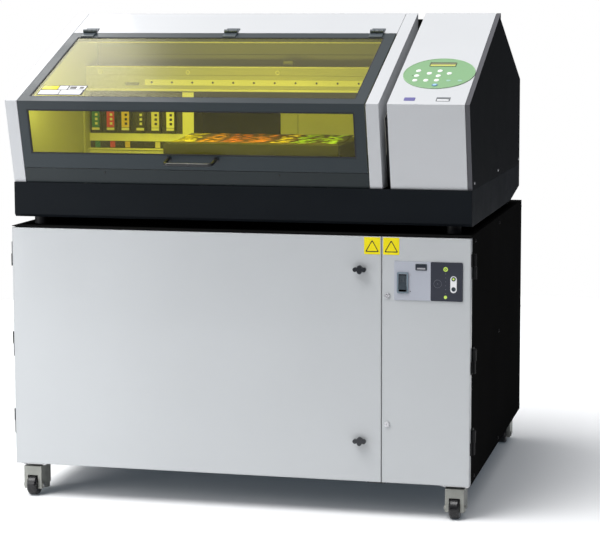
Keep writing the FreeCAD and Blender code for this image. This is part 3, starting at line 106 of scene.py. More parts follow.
class Look:
    """One material: a Principled shader with procedural detail around it."""

    def __init__(self, name, color, roughness, **sockets):
        self.material = bpy.data.materials.new(name)
        self.material.use_nodes = True
        self.tree = self.material.node_tree
        self.shader = self.tree.nodes["Principled BSDF"]
        self.color = color
        self.shader.inputs["Base Color"].default_value = (*color, 1)
        self.shader.inputs["Roughness"].default_value = roughness
        for label, value in sockets.items():
            self.shader.inputs[label.replace("_", " ")].default_value = value
        self.spot = self.node("ShaderNodeTexCoord").outputs["Object"]
        self.normal = None

    def node(self, kind, **inputs):
        """A new node with some of its inputs set or linked."""
        made = self.tree.nodes.new(kind)
        for label, value in inputs.items():
            self.feed(made.inputs[label.replace("_", " ")], value)
        return made

    def feed(self, socket, value):
        """Link a socket to another one, or set its value."""
        if isinstance(value, bpy.types.NodeSocket):
            self.tree.links.new(value, socket)
        else:
            socket.default_value = value

    def noise(self, scale, detail=3.0, stretch=(1, 1, 1)):
        """Soft cloudy values between 0 and 1, scaled differently along each axis."""
        place = self.node("ShaderNodeMapping", Vector=self.spot, Scale=stretch).outputs["Vector"]
        return self.node("ShaderNodeTexNoise", Vector=place, Scale=scale, Detail=detail).outputs["Fac"]

    def spread(self, factor, low, high, start=0.3, end=0.7):
        """Values from low to high as the factor goes from start to end."""
        made = self.node("ShaderNodeMapRange", Value=factor)
        for label, value in (("From Min", start), ("From Max", end), ("To Min", low), ("To Max", high)):
            made.inputs[label].default_value = value
        return made.outputs["Result"]

    def ramp(self, factor, stops):
        """A colour that follows a list of (place, colour) stops."""
        made = self.node("ShaderNodeValToRGB", Fac=factor)
        set_stops(made, stops)
        return made.outputs["Color"]

    def blend(self, factor, first, second):
        """A colour mix of two colours or sockets."""
        made = self.tree.nodes.new("ShaderNodeMix")
        made.data_type = "RGBA"
        self.feed(made.inputs[0], factor)
        for socket, value in ((made.inputs[6], first), (made.inputs[7], second)):
            self.feed(socket, value if isinstance(value, bpy.types.NodeSocket) else (*value, 1))
        return made.outputs[2]

    def calculate(self, operation, first, second=0.0):
        """The result of one arithmetic step on numbers or sockets."""
        made = self.node("ShaderNodeMath")
        made.operation = operation
        self.feed(made.inputs[0], first)
        self.feed(made.inputs[1], second)
        return made.outputs["Value"]

    def mix_shaders(self, factor, first, second):
        """A shader between two shaders."""
        made = self.node("ShaderNodeMixShader")
        for socket, value in zip(made.inputs, (factor, first, second)):
            self.feed(socket, value)
        return made.outputs["Shader"]

    def tint(self, factor, spread):
        """Vary the base colour a little darker and lighter with a factor."""
        dark = [c * (1 - spread) for c in self.color]
        light = [min(1, c * (1 + spread)) for c in self.color]
        self.feed(self.shader.inputs["Base Color"],
                  self.ramp(factor, [(0.3, dark), (0.7, light)]))

    def roughen(self, factor, low, high):
        """Vary the roughness with a factor."""
        self.feed(self.shader.inputs["Roughness"], self.spread(factor, low, high))

    def soften_edges(self, radius):
        """Let sharp edges catch light as if they were rounded."""
        made = self.node("ShaderNodeBevel", Radius=radius)
        made.samples = 4
        self.normal = made.outputs["Normal"]
        self.feed(self.shader.inputs["Normal"], self.normal)

    def relief(self, height, depth):
        """Raise the surface with a height, in metres from lowest to highest."""
        made = self.node("ShaderNodeBump", Height=height, Distance=depth, Strength=1.0)
        if self.normal:
            self.feed(made.inputs["Normal"], self.normal)
        self.normal = made.outputs["Normal"]
        self.feed(self.shader.inputs["Normal"], self.normal)


def powder_coat(name, color, roughness, grain=700.0, depth=0.00006, spread=0.06, edge=0.0018,
                **sockets):
    """Baked paint: a fine orange-peel grain, faint clouds in its tone and handling marks."""
    look = Look(name, color, roughness, **sockets)
    look.tint(look.noise(4.0, 6.0), spread)
    look.roughen(look.noise(7.0, 8.0), roughness * 0.88, min(1, roughness * 1.12))
    look.soften_edges(edge)
    look.relief(look.noise(grain, 2.0), depth)
    return look.material


def moulded(name, color, roughness, grain=1100.0, depth=0.00004, spread=0.04, **sockets):
    """Moulded plastic: a fine spark-eroded grain with slow changes of gloss."""
    look = Look(name, color, roughness, **sockets)
    look.tint(look.noise(3.0, 4.0), spread)
    look.roughen(look.noise(14.0, 6.0), roughness * 0.85, min(1, roughness * 1.15))
    look.soften_edges(0.0015)
    look.relief(look.noise(grain, 1.0), depth)
    return look.material


def brushed(name, color, roughness, metallic=1.0):
    """Drawn or brushed metal: fine streaks along X."""
    look = Look(name, color, roughness, Metallic=metallic)
    streaks = look.noise(900.0, 4.0, (0.02, 1, 1))
    look.tint(streaks, 0.12)
    look.roughen(streaks, roughness * 0.7, min(1, roughness * 1.35))
    look.soften_edges(0.0008)
    look.relief(streaks, 0.00003)
    return look.material


def zinc_plate(name, color, roughness=0.34):
    """Zinc-plated steel: a faint spangle of crystals."""
    look = Look(name, color, roughness, Metallic=1.0)
    spangle = look.node("ShaderNodeTexVoronoi", Vector=look.spot, Scale=160.0).outputs["Distance"]
    look.tint(spangle, 0.14)
    look.roughen(spangle, roughness * 0.7, roughness * 1.4)
    look.soften_edges(0.0008)
    return look.material


def die_cast(name, color):
    """Painted die casting: a pebbled skin."""
    roughness = 0.42
    look = Look(name, color, roughness, Metallic=0.35)
    pebbles = look.noise(420.0, 3.0)
    look.tint(look.noise(30.0, 5.0), 0.1)
    look.roughen(pebbles, roughness * 0.8, roughness * 1.25)
    look.soften_edges(0.002)
    look.relief(pebbles, 0.00018)
    return look.material


def rubber(name, color=(0.014, 0.014, 0.016), roughness=0.62):
    """Black rubber or nylon with a dusty tone that varies in patches."""
    look = Look(name, color, roughness, Specular_IOR_Level=0.4)
    dust = look.noise(60.0, 6.0)
    look.tint(dust, 0.5)
    look.roughen(dust, roughness * 0.7, min(1, roughness * 1.25))
    look.soften_edges(0.0015)
    look.relief(look.noise(800.0, 2.0), 0.00008)
    return look.material


def glossy(name, color, roughness=0.16, **sockets):
    """Glossy plastic or enamel with faint smears."""
    look = Look(name, color, roughness, **sockets)
    smears = look.noise(22.0, 7.0, (1, 1, 0.3))
    look.tint(smears, 0.04)
    look.roughen(smears, roughness * 0.7, min(1, roughness * 1.8))
    look.soften_edges(0.0006)
    return look.material


def lamp(name, color, strength):
    """A small lit lens."""
    look = Look(name, color, 0.25, Emission_Strength=strength, Coat_Weight=0.6)
    glow = look.ramp(look.noise(500.0, 2.0), [(0.3, [c * 0.8 for c in color]), (0.7, color)])
    look.feed(look.shader.inputs["Base Color"], glow)
    look.feed(look.shader.inputs["Emission Color"], glow)
    return look.material


PANE_CLEAR = (0.985, 0.965, 0.30)
PANE_GLARE = (1.0, 0.97, 0.75)
PANE_HAZE = 0.018
PANE_IOR = 1.36


def amber_acrylic():
    """Amber UV-filter acrylic: it colours what is behind it, is a little hazy and mirrors the studio."""
    look = Look("amber_acrylic", (0.75, 0.66, 0.10), 0.3, Specular_IOR_Level=0.2)
    haze = look.noise(2.2, 5.0)
    look.tint(haze, 0.1)
    look.roughen(look.noise(16.0, 6.0), 0.25, 0.4)
    clear = look.node("ShaderNodeBsdfTransparent", Color=(*PANE_CLEAR, 1))
    mirror = look.node("ShaderNodeBsdfGlossy", Color=(*PANE_GLARE, 1), Roughness=0.24)
    body = look.mix_shaders(PANE_HAZE, clear.outputs["BSDF"], look.shader.outputs["BSDF"])
    # only a face's outer side mirrors, or the light leaving the slab would be reflected in full
    outside = look.calculate("SUBTRACT", 1.0, look.node("ShaderNodeNewGeometry").outputs["Backfacing"])
    gloss = look.calculate("MULTIPLY", look.node("ShaderNodeFresnel", IOR=PANE_IOR).outputs["Fac"], outside)
    pane = look.mix_shaders(gloss, body, mirror.outputs["BSDF"])
    output = look.tree.nodes["Material Output"]
    look.feed(output.inputs["Surface"], pane)
    return look.material


def side_cover_black():
    """Black textured cover; faces that do not point sideways get a flat paler grey, painted shade standing
    for a white return seen in shadow, while the flank stays black.
    """
    look = Look("tower_side_black", (0.010, 0.011, 0.012), 0.6, Specular_IOR_Level=0.02)
    across = look.node("ShaderNodeSeparateXYZ",
                       Vector=look.node("ShaderNodeNewGeometry").outputs["True Normal"]).outputs["X"]
    flank = look.calculate("ABSOLUTE", across)
    shade = look.ramp(look.noise(5.0, 6.0), [(0.3, (0.009, 0.010, 0.011)), (0.7, (0.013, 0.014, 0.015))])
    # painted shade: the front and top returns, picked by their facing, get a flat grey instead of the black
    look.feed(look.shader.inputs["Base Color"],
              look.blend(look.spread(flank, 0, 1, 0.85, 0.95), (0.105, 0.105, 0.115), shade))
    look.roughen(look.noise(5.0, 7.0), 0.5, 0.6)
    look.relief(look.noise(600.0, 2.0), 0.00008)
    return look.material


def filter_media():
    """Off-white filter fleece with tangled fibres."""
    look = Look("filter_media", (0.78, 0.77, 0.72), 0.95, Sheen_Weight=0.3)
    fibres = look.noise(500.0, 8.0, (1, 1, 0.25))
    look.tint(fibres, 0.12)
    look.relief(fibres, 0.0004)
    return look.material


def print_ground():
    """The dark ground of the test print, warmer at its left end."""
    look = Look("print_ground", (0.05, 0.02, 0.01), 0.4, Coat_Weight=0.3, Coat_Roughness=0.15)
    across = look.node("ShaderNodeSeparateXYZ", Vector=look.spot).outputs["X"]
    tone = look.ramp(look.spread(across, 0, 1, -0.22, 0.25),
                     [(0.0, (0.10, 0.08, 0.02)), (0.3, (0.10, 0.02, 0.01)), (0.6, (0.07, 0.015, 0.01)),
                      (1.0, (0.02, 0.03, 0.01))])
    look.feed(look.shader.inputs["Base Color"],
              look.blend(look.spread(look.noise(90.0, 4.0), 0, 1), tone, (0.02, 0.012, 0.01)))
    return look.material


# how far up the slope the display's field starts and ends
DISPLAY_RISES = (0.224, 0.248)


def display_glass():
    """Backlit display: a yellow-green field whose upper edge is darkened as a painted shadow of the bezel."""
    look = Look("display_glass", (0.55, 0.58, 0.06), 0.12, Coat_Weight=0.8, Emission_Strength=0.25)
    low, high = (on_slope(0, rise).translation.z for rise in DISPLAY_RISES)
    height = look.node("ShaderNodeSeparateXYZ", Vector=look.spot).outputs["Z"]
    # painted shadow: the ramp darkens the field's upper part as if the bezel shaded it, and the glow follows
    # it
    field = look.ramp(look.spread(height, 0, 1, low, high),
                      [(0.0, (0.55, 0.60, 0.05)), (0.5, (0.48, 0.50, 0.05)), (0.75, (0.16, 0.17, 0.03)),
                       (1.0, (0.08, 0.09, 0.03))])
    look.feed(look.shader.inputs["Base Color"], field)
    look.feed(look.shader.inputs["Emission Color"], field)
    return look.material


LOOKS = {
    "frame_paint": powder_coat("frame_paint", (0.020, 0.021, 0.024), 0.5),
    "cabinet_black": powder_coat("cabinet_black", (0.0085, 0.0085, 0.0085), 0.7, 520.0, 0.0001, 0.1,
                                 Specular_IOR_Level=0.0),
    "door_white": powder_coat("door_white", (0.462, 0.479, 0.492), 0.42, 700.0, 0.00004, 0.015, edge=0.005,
                              Coat_Weight=0.12),
    "hinge_black": powder_coat("hinge_black", (0.008, 0.008, 0.009), 0.45, Specular_IOR_Level=0.15),
    "knob_black": moulded("knob_black", (0.011, 0.013, 0.017), 0.24),
    "lock_steel": zinc_plate("lock_steel", (0.62, 0.62, 0.64)),
    "switch_grey": moulded("switch_grey", (0.40, 0.42, 0.475), 0.42),
    "rocker_black": glossy("rocker_black", (0.030, 0.042, 0.052), 0.2),
    "panel_dark": moulded("panel_dark", (0.018, 0.021, 0.034), 0.45),
    "filter_steel": zinc_plate("filter_steel", (0.42, 0.43, 0.45), 0.42),
    "filter_media": filter_media(),
    "impeller_plastic": moulded("impeller_plastic", (0.03, 0.03, 0.034), 0.4),
    "caster_plate_steel": zinc_plate("caster_plate_steel", (0.55, 0.55, 0.56)),
    "caster_grey": die_cast("caster_grey", (0.28, 0.285, 0.26)),
    "caster_tyre": rubber("caster_tyre", (0.010, 0.010, 0.011), 0.28),
    "base_black": powder_coat("base_black", (0.0075, 0.0095, 0.012), 0.55, 520.0, 0.0001, 0.1,
                              Specular_IOR_Level=0.06),
    "foot_rubber": rubber("foot_rubber"),
    "cover_white": powder_coat("cover_white", (0.548, 0.56, 0.578), 0.42, 800.0, 0.00004, 0.015,
                               Coat_Weight=0.1),
    "cover_black": moulded("cover_black", (0.010, 0.011, 0.012), 0.55, 520.0, 0.0001, 0.08,
                           Specular_IOR_Level=0.2),
    "wall_black": moulded("wall_black", (0.014, 0.014, 0.016), 0.5),
    "cover_slate": powder_coat("cover_slate", (0.014, 0.024, 0.030), 0.42, 650.0, 0.00005, 0.05,
                               Specular_IOR_Level=0.3, Coat_Weight=0.15, Coat_Roughness=0.25),
    "apron_slate": powder_coat("apron_slate", (0.013, 0.020, 0.023), 0.45, 650.0, 0.00005, 0.08,
                               Specular_IOR_Level=0.3),
    "window_amber": amber_acrylic(),
    "handle_black": glossy("handle_black", (0.012, 0.013, 0.015), 0.28),
    "deck_steel": powder_coat("deck_steel", (0.03, 0.03, 0.033), 0.5),
    "beam_aluminium": brushed("beam_aluminium", (0.52, 0.52, 0.50), 0.5, metallic=0.0),
    "carriage_black": moulded("carriage_black", (0.03, 0.03, 0.034), 0.42),
    "saddle_steel": brushed("saddle_steel", (0.45, 0.45, 0.46), 0.4),
    "table_aluminium": brushed("table_aluminium", (0.028, 0.028, 0.028), 0.5, metallic=0.2),
    "bay_black": moulded("bay_black", (0.012, 0.012, 0.013), 0.45),
    "ink_body": glossy("ink_body", (0.022, 0.022, 0.024), 0.25),
    "key_green": moulded("key_green", (0.20, 0.38, 0.185), 0.36, 1400.0, 0.00002),
    "key_white": glossy("key_white", (0.88, 0.90, 0.88), 0.25),
    "power_blue": lamp("power_blue", (0.30, 0.52, 0.72), 0.25),
}
OWN_LOOKS = {
    "tower_side_cover": side_cover_black(),
    "cover_hinge_leaves": powder_coat("cover_hinge_slate", (0.055, 0.070, 0.082), 0.4),
    "hood_hinge_leaves": powder_coat("hood_hinge_slate", (0.075, 0.090, 0.105), 0.4),
}
LABEL_YELLOW = glossy("label_yellow", (0.80, 0.68, 0.005), 0.4, Specular_IOR_Level=0.25)
PRINT_BLACK = glossy("print_black", (0.012, 0.011, 0.010), 0.4)
PRINT_WHITE = glossy("print_white", (0.78, 0.78, 0.80), 0.35)
SIGNAL_GREEN = lamp("signal_green", (0.45, 0.62, 0.10), 0.35)
METAL = zinc_plate("screw_steel", (0.5, 0.5, 0.52), 0.3)
SHEET_WHITE = powder_coat("sheet_white", (0.88, 0.88, 0.84), 0.45)
SHEET_GREY = powder_coat("sheet_grey", (0.20, 0.20, 0.20), 0.5)
# the inks whose labels carry pale marks
DARK_INKS = (0, 1, 3)
INKS = [
    glossy("ink_cyan", (0.02, 0.20, 0.34), 0.3),
    glossy("ink_magenta", (0.72, 0.04, 0.20), 0.3),
    glossy("ink_yellow", (0.82, 0.56, 0.04), 0.3),
    glossy("ink_black", (0.015, 0.015, 0.015), 0.3),
    glossy("ink_white", (0.80, 0.74, 0.60), 0.3),
    glossy("ink_clear", (0.90, 0.90, 0.80), 0.3),
]


def dress_frame():
    """Give every CAD node the look of its record slot."""
    for row in frame["record"]["subparts"]:
        node = NODES[row["node"]]
        look = OWN_LOOKS.get(row["node"], LOOKS[row["material_slot"]])
        node.data.materials.clear()
        node.data.materials.append(look)


# ---------------------------------------------------------------- mesh pieces

def add_object(name, data):
    """A new object in the scene."""
    item = bpy.data.objects.new(name, data)
    bpy.context.scene.collection.objects.link(item)
    return item


def mesh_object(name, shape, look):
    """Turn a bmesh into an object with one material."""
    mesh = bpy.data.meshes.new(name)
    shape.to_mesh(mesh)
    shape.free()
    mesh.materials.append(look)
    return add_object(name, mesh)


def piece(name, shape, body, look):
    """Turn a bmesh into an object that rides on a body."""
    bmesh.ops.recalc_face_normals(shape, faces=shape.faces)
    item = mesh_object(name, shape, look)
    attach(item, body)
    return item


def loft(shape, place, rings, closed=False):
    """Skin rings of equally many local points; the ends are capped unless the loft is closed."""
    rows = [[shape.verts.new(place @ Vector(point)) for point in ring] for ring in rings]
    pairs = list(zip(rows, rows[1:]))
    if closed:
        pairs.append((rows[-1], rows[0]))
    count = len(rows[0])
    for near, far in pairs:
        for i in range(count):
            j = (i + 1) % count
            shape.faces.new((near[i], near[j], far[j], far[i]))
    if not closed:
        shape.faces.new(rows[0][::-1])
        shape.faces.new(rows[-1])


def rounded(width, height, corner, level):
    """A rectangle's outline with round corners, centred, at a local height."""
    steps = 4
    corner = max(corner, 1e-5)
    points = []
    for turn, (sx, sy) in enumerate(((1, 1), (-1, 1), (-1, -1), (1, -1))):
        for step in range(steps + 1):
            angle = math.radians(90 * turn + 90 * step / steps)
            points.append((sx * (width / 2 - corner) + corner * math.cos(angle),
                           sy * (height / 2 - corner) + corner * math.sin(angle), level))
    return points


def plate(shape, place, width, height, thick, corner=0.0015, edge=0.0003):
    """A flat plate with round corners and a softened front edge."""
    loft(shape, place, [
        rounded(width, height, corner, 0),
        rounded(width, height, corner, thick - edge),
        rounded(width - 2 * edge, height - 2 * edge, corner - edge, thick),
    ])


def border(shape, place, width, height, inner_width, inner_height, thick, corner=0.003, edge=0.0004):
    """A flat frame between two rounded rectangles."""
    inner = max(corner - (width - inner_width) / 2, 0.0005)
    loft(shape, place, [
        rounded(width, height, corner, 0),
        rounded(width, height, corner, thick - edge),
        rounded(width - 2 * edge, height - 2 * edge, corner - edge, thick),
        rounded(inner_width + 2 * edge, inner_height + 2 * edge, inner + edge, thick),
        rounded(inner_width, inner_height, inner, thick - edge),
        rounded(inner_width, inner_height, inner, 0),
    ], closed=True)


def circle(radius, level, steps=24):
    """A ring of points round local Z."""
    return [(radius * math.cos(2 * math.pi * i / steps), radius * math.sin(2 * math.pi * i / steps), level)
            for i in range(steps)]


def turned(shape, place, profile, steps=24, closed=False):
    """A lathe shape from (radius, level) pairs."""
    loft(shape, place, [circle(radius, level, steps) for radius, level in profile], closed)


def hoop(shape, place, profile, steps=24):
    """A lathe shape with a hole: its profile closes on itself."""
    turned(shape, place, profile, steps, closed=True)


def screw(shape, place, radius):
    """A domed screw head with a socket."""
    turned(shape, place, [(radius, 0), (radius, 0.25 * radius), (0.86 * radius, 0.5 * radius),
                          (0.55 * radius, 0.62 * radius), (0.45 * radius, 0.6 * radius),
                          (0.42 * radius, 0.25 * radius)], 12)


def group(name, body, look, maker, rows):
    """Many shapes of one kind as one piece: maker(shape, *row) for every row."""
    shape = bmesh.new()
    for row in rows:
        maker(shape, *row)
    return piece(name, shape, body, look)


def screws(name, body, spots, radius, look=METAL):
    """A group of equal screws as one piece."""
    return group(name, body, look, screw, [(spot, radius) for spot in spots])


def plates(name, body, look, spots, corner=0.0015, edge=0.0003):
    """A group of flat plates as one piece, from (place, width, height, thickness)."""
    return group(name, body, look, plate, [(*spot, corner, edge) for spot in spots])


def bar(shape, low, high, edge=0.0006):
    """A block between two corners in the row frame, with softened edges."""
    low, high = Vector(low), Vector(high)
    middle = (low + high) / 2
    size = high - low
    place = facing("up", (middle.x, middle.y, low.z))
    loft(shape, place, [
        rounded(size.x - 2 * edge, size.y - 2 * edge, edge, 0),
        rounded(size.x, size.y, edge, edge),
        rounded(size.x, size.y, edge, size.z - edge),
        rounded(size.x - 2 * edge, size.y - 2 * edge, edge, size.z),
    ])


# ---------------------------------------------------------------- doors and their fittings

DOOR_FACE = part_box("left_door")[0].y
DOOR_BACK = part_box("left_door")[1].y
PLATE_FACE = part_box("filter_control_panel")[0].y
DOOR_LABEL_WIDTH = 0.041
DOOR_LABEL_HEIGHT = 0.043
DOOR_LABEL_Z = 0.6885
TRIANGLE_Z = 0.6835
STIFFENER_Z = (0.30, 0.52)


def on_door(x, z, lift=0.0):
    """A place on the doors' front."""
    return facing("front", (x, DOOR_FACE - lift, z))


def triangle_ring(shape, place, size, band, thick):
    """An upright triangle outline with its sharp corners taken off."""
    blunt = 4

    def corners(scale, level):
        ring = []
        for turn in range(3):
            middle = math.radians(90 + 120 * turn)
            for step in (-blunt, 0, blunt):
                angle = middle + math.radians(step)
                reach = scale * (1.0 if step == 0 else 0.985)
                ring.append((reach * math.cos(angle), reach * math.sin(angle), level))
        return ring

    inner = size - 2 * band
    loft(shape, place, [corners(size, 0), corners(size, thick), corners(inner, thick), corners(inner, 0)],
         closed=True)


def caution_labels():
    """A plain yellow label with an empty triangle at the top inner corner of each door."""
    for body, x in (("left_door", 0.3535), ("right_door", 0.402)):
        plates(f"{body}_caution_label", body, LABEL_YELLOW,
               [(on_door(x, DOOR_LABEL_Z), DOOR_LABEL_WIDTH, DOOR_LABEL_HEIGHT, 0.0004)], corner=0.002)
        group(f"{body}_caution_triangle", body, PRINT_BLACK, triangle_ring,
              [(on_door(x, TRIANGLE_Z, 0.0004), 0.0185, 0.0019, 0.00025)])


def door_linings():
    """Foam seals on the inside of both doors and hat-section stiffeners on the wide one."""
    for body in ("left_door", "right_door"):
        low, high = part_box(body)
        place = facing("back", ((low.x + high.x) / 2, DOOR_BACK, (low.z + high.z) / 2))
        width, height = high.x - low.x, high.z - low.z
        seal = (place, width - 0.006, height - 0.006, width - 0.022, height - 0.022, 0.0012, 0.002)
        group(f"{body}_foam_seal", body, LOOKS["foot_rubber"], border, [seal])
    low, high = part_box("left_door")
    left, right = low.x + 0.03, high.x - 0.03
    rows = []
    for z in STIFFENER_Z:
        rows.append(((left, DOOR_FACE + 0.0021, z - 0.03), (right, DOOR_FACE + 0.0036, z + 0.03), 0.0006))
        rows.append(((left, DOOR_FACE + 0.0030, z - 0.016), (right, DOOR_BACK - 0.003, z + 0.016), 0.002))
    group("left_door_stiffeners", "left_door", LOOKS["door_white"], bar, rows)


METER_X = 0.478
METER_Z = 0.6385
ROCKER_SCREW_X = 0.4505


def switch_plate_details():
    """Hour meter with a grey strip on its window as a painted glare, blue-grey rocker bezel and two small
    screws on the light plate.
    """
    body = "right_door"
    meter = facing("front", (METER_X, PLATE_FACE, METER_Z))
    group("hour_meter_frame", body, LOOKS["rocker_black"], border,
          [(meter, 0.029, 0.0165, 0.025, 0.0125, 0.0012, 0.002)])
    plates("hour_meter_window", body, glossy("meter_glass", (0.03, 0.035, 0.045), 0.08),
           [(meter, 0.025, 0.0125, 0.0006)])
    # painted glare: a flat grey strip across the lower part of the meter window
    plates("hour_meter_glare", body, moulded("meter_painted_glare", (0.34, 0.34, 0.37), 0.4),
           [(facing("front", (METER_X, PLATE_FACE - 0.0006, METER_Z - 0.0035)), 0.021, 0.0040, 0.00015)],
           corner=0.0006, edge=0.00005)
    low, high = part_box("power_rocker")
    x, z = (low.x + high.x) / 2, (low.z + high.z) / 2
    bezel = facing("front", (x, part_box("switch_plate")[0].y, z))
    group("rocker_bezel", body, moulded("bezel_blue_grey", (0.16, 0.21, 0.25), 0.35), border,
          [(bezel, 0.0290, 0.0530, 0.0204, 0.0444, 0.0006, 0.0030)])
    screws("switch_plate_screws", body,
           [facing("front", (ROCKER_SCREW_X, PLATE_FACE, z + dz)) for dz in (-0.021, 0.021)], 0.0016)


LAMP_X = 0.5393
LAMP_HIGH_Z = 0.6348
LAMP_LOW_Z = 0.5652
MARK_TOP_Z = 0.6235
MARK_PITCH = 0.0098
RING_SPOT = (0.5195, 0.598)
KEY_X = 0.5593
KEY_HIGH_Z = 0.6110
KEY_LOW_Z = 0.5857


def filter_panel_details():
    """Lamps, dots, the meter ring and the two keys of the dark membrane panel."""
    body = "right_door"

    def at(x, z, lift=0.0):
        return facing("front", (x, PLATE_FACE - lift, z))

    shape = bmesh.new()
    hoop(shape, at(LAMP_X, LAMP_HIGH_Z), [(0.0058, 0), (0.0056, 0.0005), (0.0030, 0.0005), (0.0028, 0)])
    turned(shape, at(LAMP_X, LAMP_LOW_Z), [(0.0042, 0), (0.0040, 0.0005), (0.002, 0.0008)])
    turned(shape, at(LAMP_X, LAMP_HIGH_Z), [(0.0014, 0), (0.0013, 0.0003), (0.0008, 0.0004)], 12)
    piece("filter_panel_lamps", shape, body, SIGNAL_GREEN)
    shape = bmesh.new()
    for n in range(6):
        turned(shape, at(LAMP_X, MARK_TOP_Z - MARK_PITCH * n),
               [(0.0010, 0), (0.0009, 0.0002), (0.0005, 0.0002)], 10)
    hoop(shape, at(*RING_SPOT), [(0.0103, 0), (0.0101, 0.0002), (0.0095, 0.0002), (0.0093, 0)], 32)
    turned(shape, at(*RING_SPOT), [(0.0013, 0), (0.0012, 0.0002), (0.0006, 0.0002)], 10)
    piece("filter_panel_marks", shape, body, moulded("mark_grey", (0.14, 0.15, 0.18), 0.4))
    plates("filter_panel_capsule", body, PRINT_WHITE, [(at(KEY_X, 0.5972), 0.0160, 0.0420, 0.0005)],
           corner=0.0079, edge=0.0002)
    key = [(0.0055, 0), (0.0054, 0.0006), (0.0048, 0.0009), (0.003, 0.0008)]
    group("filter_panel_keys", body, LOOKS["rocker_black"], turned,
          [(at(KEY_X, z, 0.0005), key) for z in (KEY_HIGH_Z, KEY_LOW_Z)])
    group("filter_panel_key_light", body, SIGNAL_GREEN, turned,
          [(at(KEY_X, KEY_HIGH_Z, 0.0013), [(0.0028, 0), (0.0026, 0.0004), (0.0012, 0.0005)])])


def door_stop():
    """Rubber bumper under the floor pan where the doors meet."""
    group("door_stop_bumper", "machine", LOOKS["foot_rubber"], bar,
          [((0.336, -0.450, 0.080), (0.384, -0.420, 0.0859), 0.0015)])


# ---------------------------------------------------------------- round key panel on the tower

PANEL_X = 0.497
PANEL_RISE = 0.183
PANEL_LIFT = 0.0015
DISPLAY_UP = 0.0535
POWER_KEY_UP = -0.072
# millimetres across and up from the panel's centre
KEY_SPOTS = [(-55, 14), (-55, -16), (-55, -44), (0, 14), (-25, -1), (26, -1), (0, -16), (-27, -44),
             (0, -43)]


def on_panel(across, up, lift=0.0):
    """A place on the round overlay, in metres from its centre."""
    return on_slope(PANEL_X + across, PANEL_RISE + up, PANEL_LIFT + lift)


def key_panel_details():
    """Display, key pads, the power key's ring, two pale marks and the rim of the overlay."""
    rim = [(0.0915, 0), (0.0915, 0.0016), (0.0908, 0.0021), (0.0899, 0.0021), (0.0896, 0.0016), (0.0896, 0)]
    group("key_panel_rim", "machine", moulded("rim_green", (0.27, 0.47, 0.24), 0.3), hoop,
          [(on_slope(PANEL_X, PANEL_RISE), rim, 72)])
    group("display_bezel", "machine", moulded("bezel_olive", (0.10, 0.14, 0.06), 0.35), border,
          [(on_panel(0.002, DISPLAY_UP), 0.069, 0.0255, 0.064, 0.0205, 0.0010, 0.003)])
    plates("display_window", "machine", display_glass(),
           [(on_panel(0.002, DISPLAY_UP), 0.064, 0.0205, 0.0005)])
    plates("key_pads", "machine", LOOKS["key_white"],
           [(on_panel(x * MM, y * MM), 0.0125, 0.0150, 0.0004) for x, y in KEY_SPOTS],
           corner=0.0060, edge=0.0002)
    ring = [(0.0078, 0), (0.0076, 0.0006), (0.0060, 0.0006), (0.0058, 0)]
    group("power_key_ring", "machine", glossy("ring_blue", (0.09, 0.20, 0.34), 0.25), hoop,
          [(on_panel(0, POWER_KEY_UP), ring, 32)])
    plates("panel_pale_marks", "machine", glossy("pale_blue", (0.30, 0.50, 0.42), 0.3),
           [(on_panel(x, -0.044), 0.011, 0.009, 0.00025) for x in (0.030, 0.059)],
           corner=0.0040, edge=0.0001)
    group("alarm_lens", "machine", glossy("lens_dark", (0.06, 0.10, 0.04), 0.2), turned,
          [(on_panel(-0.0655, -0.016), [(0.0016, 0), (0.0015, 0.0003), (0.0008, 0.0004)], 12)])


BADGE_RISE = 0.030


def tower_badges():
    """Two plain blank badges under the key panel."""
    plates("tower_badge_blue", "machine", glossy("badge_violet", (0.11, 0.10, 0.30), 0.3),
           [(on_slope(0.4475, BADGE_RISE), 0.028, 0.019, 0.0006)], corner=0.003)
    plates("tower_badge_grey", "machine", glossy("badge_grey", (0.14, 0.15, 0.16), 0.3),
           [(on_slope(0.531, BADGE_RISE + 0.0005), 0.035, 0.023, 0.0006)], corner=0.002)
    plates("tower_badge_face", "machine", PRINT_WHITE,
           [(on_slope(0.531, BADGE_RISE - 0.0045, 0.0006), 0.029, 0.007, 0.0002)], corner=0.001, edge=0.0001)


# ---------------------------------------------------------------- front cover

PANE_LEFT = -0.545
PANE_RIGHT = 0.313
PANE_SINK = -0.0016
# distance of each pane's middle from the crease, and its height
UPPER_PANE = (0.2205, 0.385)
LOWER_PANE = (0.082, 0.118)
WINDOW_LABEL_X = -0.470
WINDOW_LABEL_RISE = 0.069


def window_gaskets():
    """Dark seals round both panes."""
    x, width = (PANE_LEFT + PANE_RIGHT) / 2, PANE_RIGHT - PANE_LEFT
    rows = [(surface(x, middle, PANE_SINK), width - 0.0004, height - 0.0004,
             width - 0.007, height - 0.007, 0.0013, 0.002)
            for surface, (middle, height) in ((on_slope, UPPER_PANE), (on_lean, LOWER_PANE))]
    group("window_gaskets", "front_cover", LOOKS["foot_rubber"], border, rows)


def apron_screws():
    """Two small dark screws that hold the apron under the cover."""
    screws("apron_screws", "machine", [on_lean(x, 0.1895) for x in (-0.351, 0.112)], 0.0022, PRINT_BLACK)


